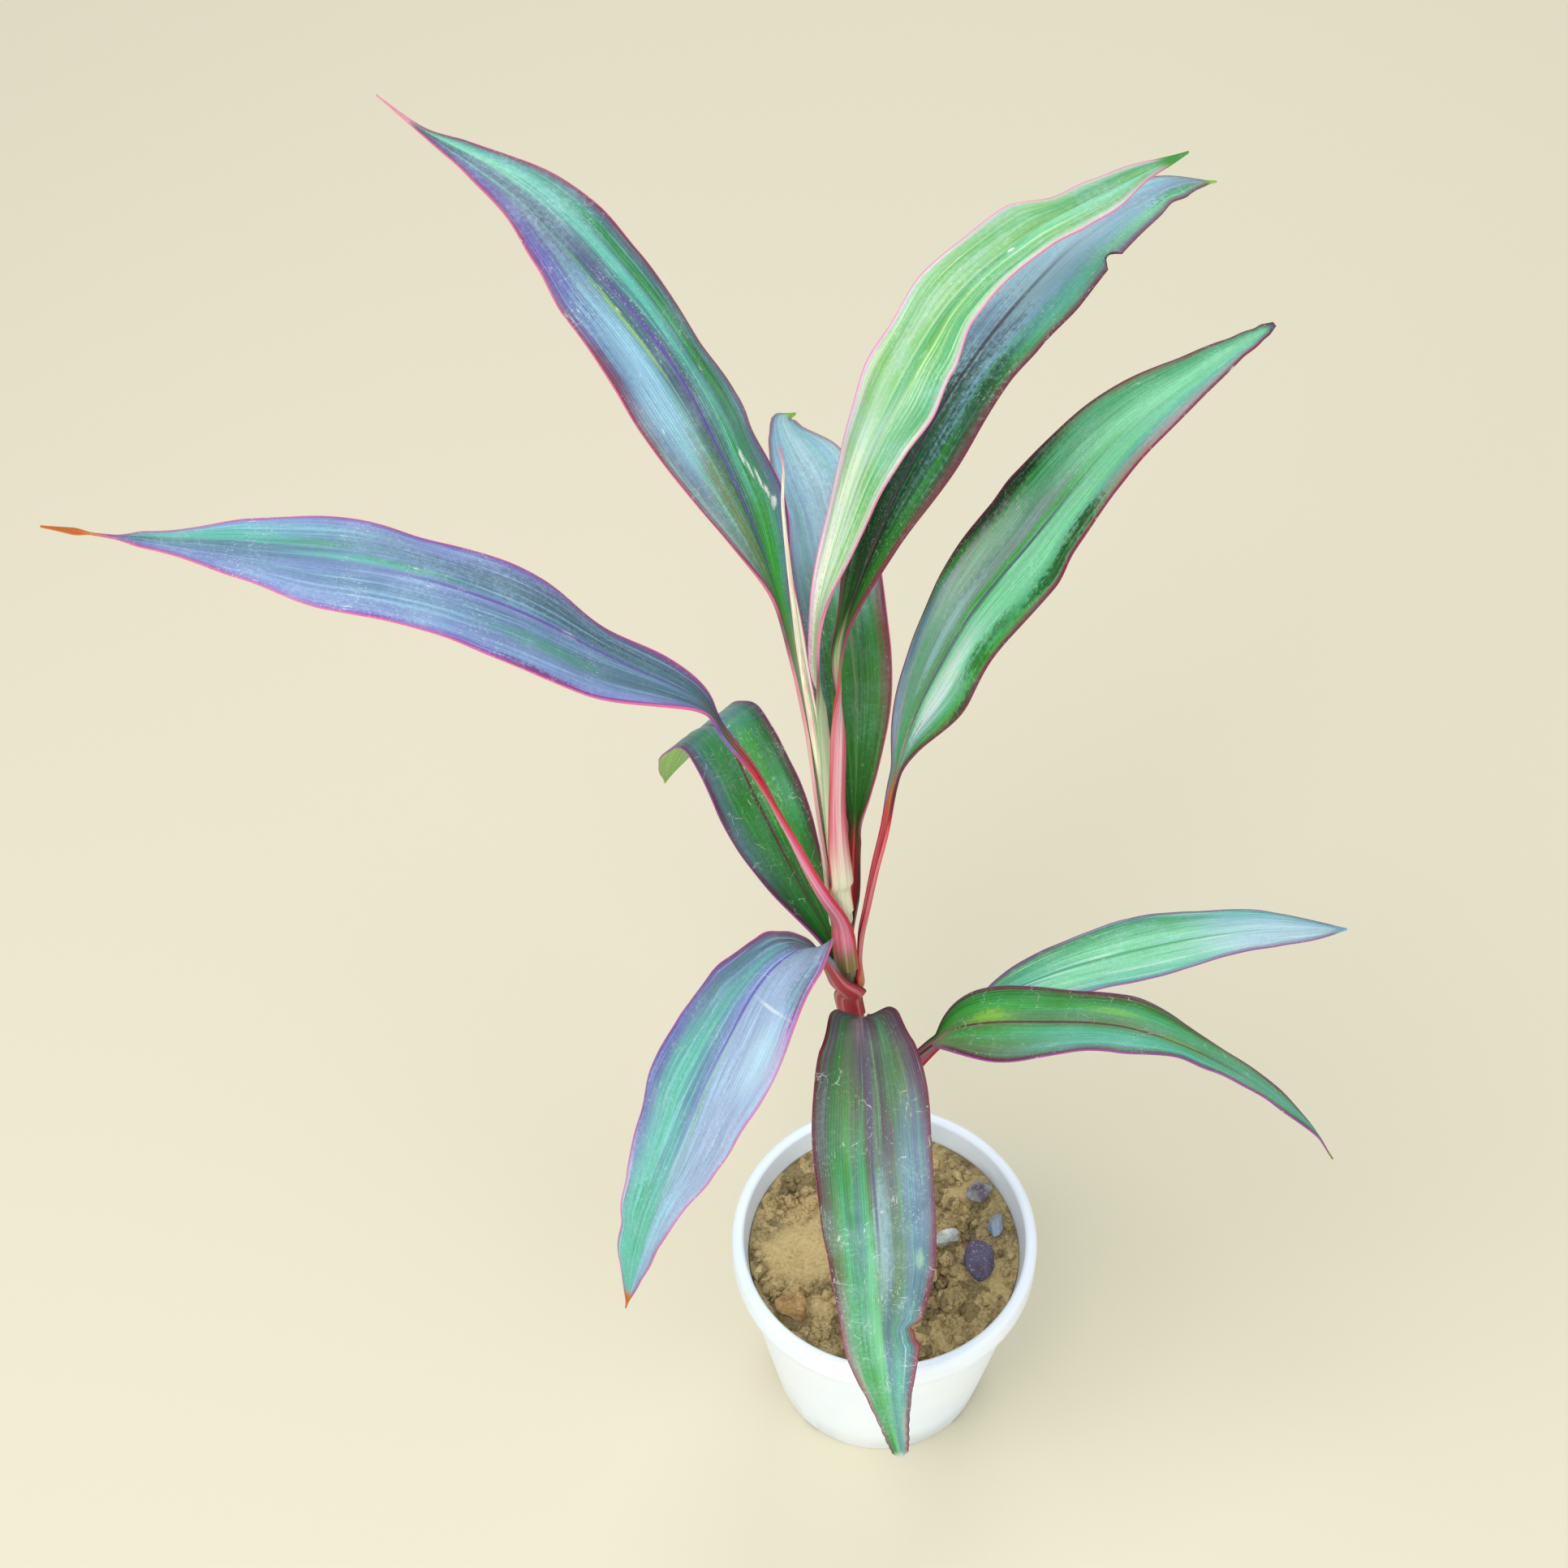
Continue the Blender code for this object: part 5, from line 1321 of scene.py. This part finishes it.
    def stalk(self):
        """The stalk's inner and outer sides, and the sheath that clasps the shoot."""
        look, ribs = self.look, self.ribs
        outer = self.ramp(self.across + (ribs - 0.5) * 0.3, stripes(look.outer))
        throat = self.mix(self.smooth(self.part, -0.16, -0.02), tone(look.channel),
                          tone(look.throat))
        inner = self.mix(self.smooth(self.away + (ribs - 0.5) * 0.6, 0.45, 0.85), throat, outer)
        body = self.mix(self.beneath, inner, outer)
        collar = self.smooth(self.run + ribs * look.collar, look.collar * 2.2, look.collar * 0.8)
        body = self.mix(collar * 0.9, body, tone(look.sheath))
        body = self.mix(self.smooth(ribs, 0.48, 0.38) * (0.6 - collar * 0.4), body, tone(look.hem))
        body = self.mix(self.smooth(ribs, 0.53, 0.63) * 0.32, body, tone("blush"))
        clasping = self.smooth(self.run, self.leaf.sheath * 1.3, self.leaf.sheath * 0.8)
        hem = self.smooth(self.inward, 0.75, 0.35) * clasping
        return self.mix(hem * 0.9, body, tone(look.hem))

    def dust(self):
        """Grains and dashes of dust, gathered in patches beyond the blade's foot."""
        grit = self.smooth(self.noise(self.here, 1300, 2, 0.6), 0.58, 0.74) * 0.7
        dust = grit + self.smooth(self.streaks(46, 22, 41, 2, 0.6), 0.64, 0.74)
        dust = dust * self.smooth(self.noise(self.here, 55, 3), 0.42, 0.64) * self.look.dust
        return dust * (0.3 + self.smooth(self.part, 0.1, 0.5) * 0.7)

    def scratches(self):
        """Thin scuffs that cross each other like a web, in a few places."""
        web = self.cells(self.warp(self.here, 90, 12 * MM), 120, "DISTANCE_TO_EDGE")
        web = self.smooth(web, 0.03, 0.0)
        web = web * self.smooth(self.noise(self.here, 75, 2), 0.5, 0.62) * self.look.scuff
        return web * self.smooth(self.noise(self.here, 420, 2), 0.42, 0.6)

    def spots(self):
        """Small yellow spots, in a few places."""
        dots = self.smooth(self.cells(self.here, 260) + (self.hair - 0.5) * 0.4, 0.13, 0.05)
        dots = dots * self.look.spots
        return dots * self.smooth(self.noise(self.here, 110, 2), 0.48, 0.58)


def leaf_finish(name, length, settings):
    """A living leaf: its striped blade, its stalk and sheath, and its dust, scuffs and spots."""
    paint = LeafPaint(name, length)
    part, hair, fine = paint.part, paint.hair, paint.fine
    body = paint.trim(paint.blade(), settings.margin / MM)
    foot = paint.smooth(part + paint.away * 0.1 + (hair - 0.5) * 0.08, 0.08, -0.02)
    body = paint.mix(foot, body, paint.stalk())
    open_blade = paint.smooth(part, 0.0, 0.08)
    dust = paint.dust()
    body = paint.mix(paint.spots() * open_blade * 0.8, body, tone("lime"))
    body = paint.mix(paint.clamp(dust + paint.scratches()) * open_blade * 0.7, body, tone("pearl"))
    veins = paint.maths("SINE", paint.flow * (pi * settings.veins))
    relief = veins * 0.3 + hair + fine * 1.2 + paint.ribs * foot * 3 + dust * 0.4
    paint.relief(relief, 0.18 * MM, 0.7)
    paint.set(Coat_Weight=settings.gloss, Coat_Roughness=0.3, Specular_IOR_Level=0.25)
    return paint.set(Base_Color=body, Roughness=0.36 + fine * 0.14 + dust * 0.2)


def lay_floor(scene, settings):
    """The plain floor, which is no part of the plant."""
    ground = bmesh.new()
    bmesh.ops.create_grid(ground, x_segments=1, y_segments=1, size=FLOOR_REACH)
    mesh = bpy.data.meshes.new("floor")
    ground.to_mesh(mesh)
    ground.free()
    paint = Paint("plain_floor")
    mesh.materials.append(paint.set(Base_Color=(*settings.floor, 1.0), Roughness=0.9))
    floor = bpy.data.objects.new("floor", mesh)
    scene.collection.objects.link(floor)


def hang_lamps(scene, settings):
    """Soft light from all round, and four large lamps."""
    world = bpy.data.worlds.new("soft_sky")
    world.use_nodes = True
    glow = world.node_tree.nodes["Background"]
    glow.inputs["Color"].default_value = (*settings.sky, 1.0)
    glow.inputs["Strength"].default_value = settings.sky_strength
    scene.world = world
    for name, (place, share, size) in LAMPS.items():
        lamp = bpy.data.lights.new(name, "AREA")
        lamp.energy = settings.key_strength * share
        lamp.size = size
        holder = bpy.data.objects.new(name, lamp)
        holder.location = place
        aim = Vector(LAMP_AIM) - Vector(place)
        holder.rotation_euler = aim.to_track_quat("-Z", "Y").to_euler()
        scene.collection.objects.link(holder)


def set_camera(scene, settings):
    """The camera, at the angle from which the plant is best known."""
    eye = bpy.data.cameras.new("camera")
    eye.angle = settings.camera_angle
    camera = bpy.data.objects.new("camera", eye)
    camera.location = settings.camera_place
    camera.rotation_euler = (settings.camera_tilt, 0, 0)
    scene.collection.objects.link(camera)
    scene.camera = camera


class PotSettings(bpy.types.PropertyGroup):
    """Sizes and colours of the pot."""
    plastic: FloatVectorProperty(
        name="Plastic", description="The pot's white", subtype="COLOR", default=(0.86, 0.91, 0.97))
    # Shade: the darker, bluer white that is painted in clouds as cool shade
    shade: FloatVectorProperty(
        name="Shade", description="The cooler white in its clouds", subtype="COLOR",
        default=(0.72, 0.86, 0.98))
    roughness: FloatProperty(
        name="Roughness", description="Roughness of the clean plastic", default=0.32, min=0, max=1,
        subtype="FACTOR")
    # Dust: strength of the grey mixed in clouds towards the pot's foot
    dust: FloatProperty(
        name="Dust", description="Strength of the dust at the foot", default=0.35, min=0, max=1,
        subtype="FACTOR")


class SoilSettings(bpy.types.PropertyGroup):
    """Sizes and colours of the soil."""
    dry: FloatVectorProperty(
        name="Dry", description="Dry soil", subtype="COLOR", default=(0.54, 0.40, 0.17))
    damp: FloatVectorProperty(
        name="Damp", description="Damp soil in hollows", subtype="COLOR",
        default=(0.21, 0.14, 0.05))
    crust: FloatVectorProperty(
        name="Crust", description="Pale sandy crust", subtype="COLOR", default=(0.70, 0.54, 0.28))
    grit: FloatProperty(
        name="Grit", description="Height of the grit on the soil's top", default=0.9 * MM,
        unit="LENGTH", precision=4)
    crumb_size: FloatProperty(
        name="Crumb size", description="Radius of a common loose crumb", default=3.0 * MM,
        unit="LENGTH", precision=4)
    crumb_count: IntProperty(
        name="Crumbs", description="How many loose crumbs are tried", default=900, min=0)
    seed: IntProperty(name="Seed", description="Seed of the crumbs' places", default=11)


class ShootSettings(bpy.types.PropertyGroup):
    """Colours of the cane and of the rolled young leaf."""
    bark: FloatVectorProperty(
        name="Bark", description="Older bark", subtype="COLOR", default=(0.16, 0.12, 0.06))
    young_bark: FloatVectorProperty(
        name="Young bark", description="Green young bark", subtype="COLOR",
        default=(0.26, 0.27, 0.12))
    spear: FloatVectorProperty(
        name="Rolled leaf", description="Pale pink outside of the rolled leaf", subtype="COLOR",
        default=(0.74, 0.50, 0.47))


class LeafSettings(bpy.types.PropertyGroup):
    """Sizes shared by the leaves."""
    stations: IntProperty(
        name="Stations", description="Cross-sections along a leaf", default=300, min=20)
    across: IntProperty(
        name="Across", description="Faces across a leaf", default=22, min=6)
    thickness: FloatProperty(
        name="Thickness", description="Thickness of a blade", default=0.6 * MM, unit="LENGTH",
        precision=4)
    rib_depth: FloatProperty(
        name="Rib depth", description="Depth of the groove along the midrib", default=0.6 * MM,
        unit="LENGTH", precision=4)
    margin: FloatProperty(
        name="Margin", description="Width of the pink line round a blade", default=0.32 * MM,
        unit="LENGTH", precision=4)
    veins: IntProperty(
        name="Veins", description="Parallel veins across a blade", default=44, min=0)
    gloss: FloatProperty(
        name="Gloss", description="Waxy coat", default=0.14, min=0, max=1, subtype="FACTOR")


class StageSettings(bpy.types.PropertyGroup):
    """Floor, light and camera."""
    floor: FloatVectorProperty(
        name="Floor", description="Plain pale floor", subtype="COLOR", default=(0.71, 0.65, 0.48))
    sky: FloatVectorProperty(
        name="Sky", description="Light from all round", subtype="COLOR", default=(0.86, 0.93, 1.0))
    sky_strength: FloatProperty(
        name="Sky strength", description="Strength of the light from all round", default=0.6)
    key_strength: FloatProperty(
        name="Key strength", description="Power of the large lamp above", default=21.5,
        unit="POWER")
    camera_place: FloatVectorProperty(
        name="Camera", description="Where the camera stands", subtype="TRANSLATION",
        unit="LENGTH", default=(-0.04122, -0.62886, 1.24618))
    camera_tilt: FloatProperty(
        name="Tilt", description="The camera's angle up from straight down",
        default=radians(37.067), subtype="ANGLE", unit="ROTATION")
    camera_angle: FloatProperty(
        name="Field of view", description="The camera's field of view", default=radians(28),
        subtype="ANGLE", unit="ROTATION")


class DracaenaSettings(bpy.types.PropertyGroup):
    """All settings of the plant."""
    pot: PointerProperty(type=PotSettings)
    soil: PointerProperty(type=SoilSettings)
    shoot: PointerProperty(type=ShootSettings)
    leaf: PointerProperty(type=LeafSettings)
    stage: PointerProperty(type=StageSettings)


class MouldPot(bpy.types.Operator):
    """Turn the white pot, nick its rim and cut its drainage"""
    bl_idname = "dracaena.mould_pot"
    bl_label = "Mould Pot"

    def execute(self, context):
        material = plastic_finish(context.scene.dracaena.pot)
        bore_drains(to_piece("pot_shell", pot_body(), material, "pot", ["pot"]))
        return {"FINISHED"}


class FillSoil(bpy.types.Operator):
    """Fill the pot with crumbly soil and scatter loose crumbs on it"""
    bl_idname = "dracaena.fill_soil"
    bl_label = "Fill Soil"

    def execute(self, context):
        settings = context.scene.dracaena.soil
        material = soil_finish(settings)
        to_piece("soil_bed", soil_body(settings), material, "soil", ["soil"], sharp_angle=80)
        to_piece("soil_crumbs", scatter_crumbs(settings), material, "soil", sharp_angle=30)
        return {"FINISHED"}


class LayStones(bpy.types.Operator):
    """Lay the stones and clods in their hollows"""
    bl_idname = "dracaena.lay_stones"
    bl_label = "Lay Stones"

    def execute(self, context):
        for name, seat in zip(STONES, stone_seats()):
            rock = name + "_rock"
            material = stone_finish(rock, *STONE_TONES[name])
            to_piece(rock, stone_body(name, seat), material, name, [name], 35)
        return {"FINISHED"}


class GrowCane(bpy.types.Operator):
    """Grow the leaning cane with its ring scars"""
    bl_idname = "dracaena.grow_cane"
    bl_label = "Grow Cane"

    def execute(self, context):
        material = cane_finish(context.scene.dracaena.shoot)
        to_piece("cane_bark", cane_body(), material, "cane", ["cane"], 50)
        return {"FINISHED"}


class RollSpear(bpy.types.Operator):
    """Roll the youngest leaf on top of the cane"""
    bl_idname = "dracaena.roll_spear"
    bl_label = "Roll Young Leaf"

    def execute(self, context):
        material = spear_finish(context.scene.dracaena.shoot)
        to_piece("spear_scroll", spear_body(), material, "spear", ["spear"], 60)
        return {"FINISHED"}


class OpenLeaves(bpy.types.Operator):
    """Open every leaf along its own route, and paint it with its own colours"""
    bl_idname = "dracaena.open_leaves"
    bl_label = "Open Leaves"

    def execute(self, context):
        settings = context.scene.dracaena.leaf
        for name, leaf in LEAVES.items():
            body, length = leaf_body(leaf, settings)
            material = leaf_finish(name, length, settings)
            to_piece(name + "_blade", body, material, name, [name], 60)
        return {"FINISHED"}


class SetStage(bpy.types.Operator):
    """Lay the floor, light it softly and set the camera"""
    bl_idname = "dracaena.set_stage"
    bl_label = "Set Stage"

    def execute(self, context):
        scene = context.scene
        settings = scene.dracaena.stage
        lay_floor(scene, settings)
        hang_lamps(scene, settings)
        set_camera(scene, settings)
        scene.view_settings.view_transform = "Standard"
        return {"FINISHED"}


class DRACAENA_PT_panel(bpy.types.Panel):
    """The plant's steps in the 3D view's sidebar"""
    bl_label = "Dracaena"
    bl_idname = "DRACAENA_PT_panel"
    bl_space_type = "VIEW_3D"
    bl_region_type = "UI"
    bl_category = "Dracaena"

    def draw(self, context):
        for step in STEPS:
            self.layout.operator(step.bl_idname)


STEPS = (SetStage, MouldPot, FillSoil, LayStones, GrowCane, RollSpear, OpenLeaves)
CLASSES = (PotSettings, SoilSettings, ShootSettings, LeafSettings, StageSettings,
           DracaenaSettings, *STEPS, DRACAENA_PT_panel)


def register():
    for item in CLASSES:
        bpy.utils.register_class(item)
    bpy.types.Scene.dracaena = PointerProperty(type=DracaenaSettings)


def unregister():
    del bpy.types.Scene.dracaena
    for item in reversed(CLASSES):
        bpy.utils.unregister_class(item)


def main():
    register()
    for step in STEPS:
        group, name = step.bl_idname.split(".")
        getattr(getattr(bpy.ops, group), name)()


if __name__ == "__main__":
    main()
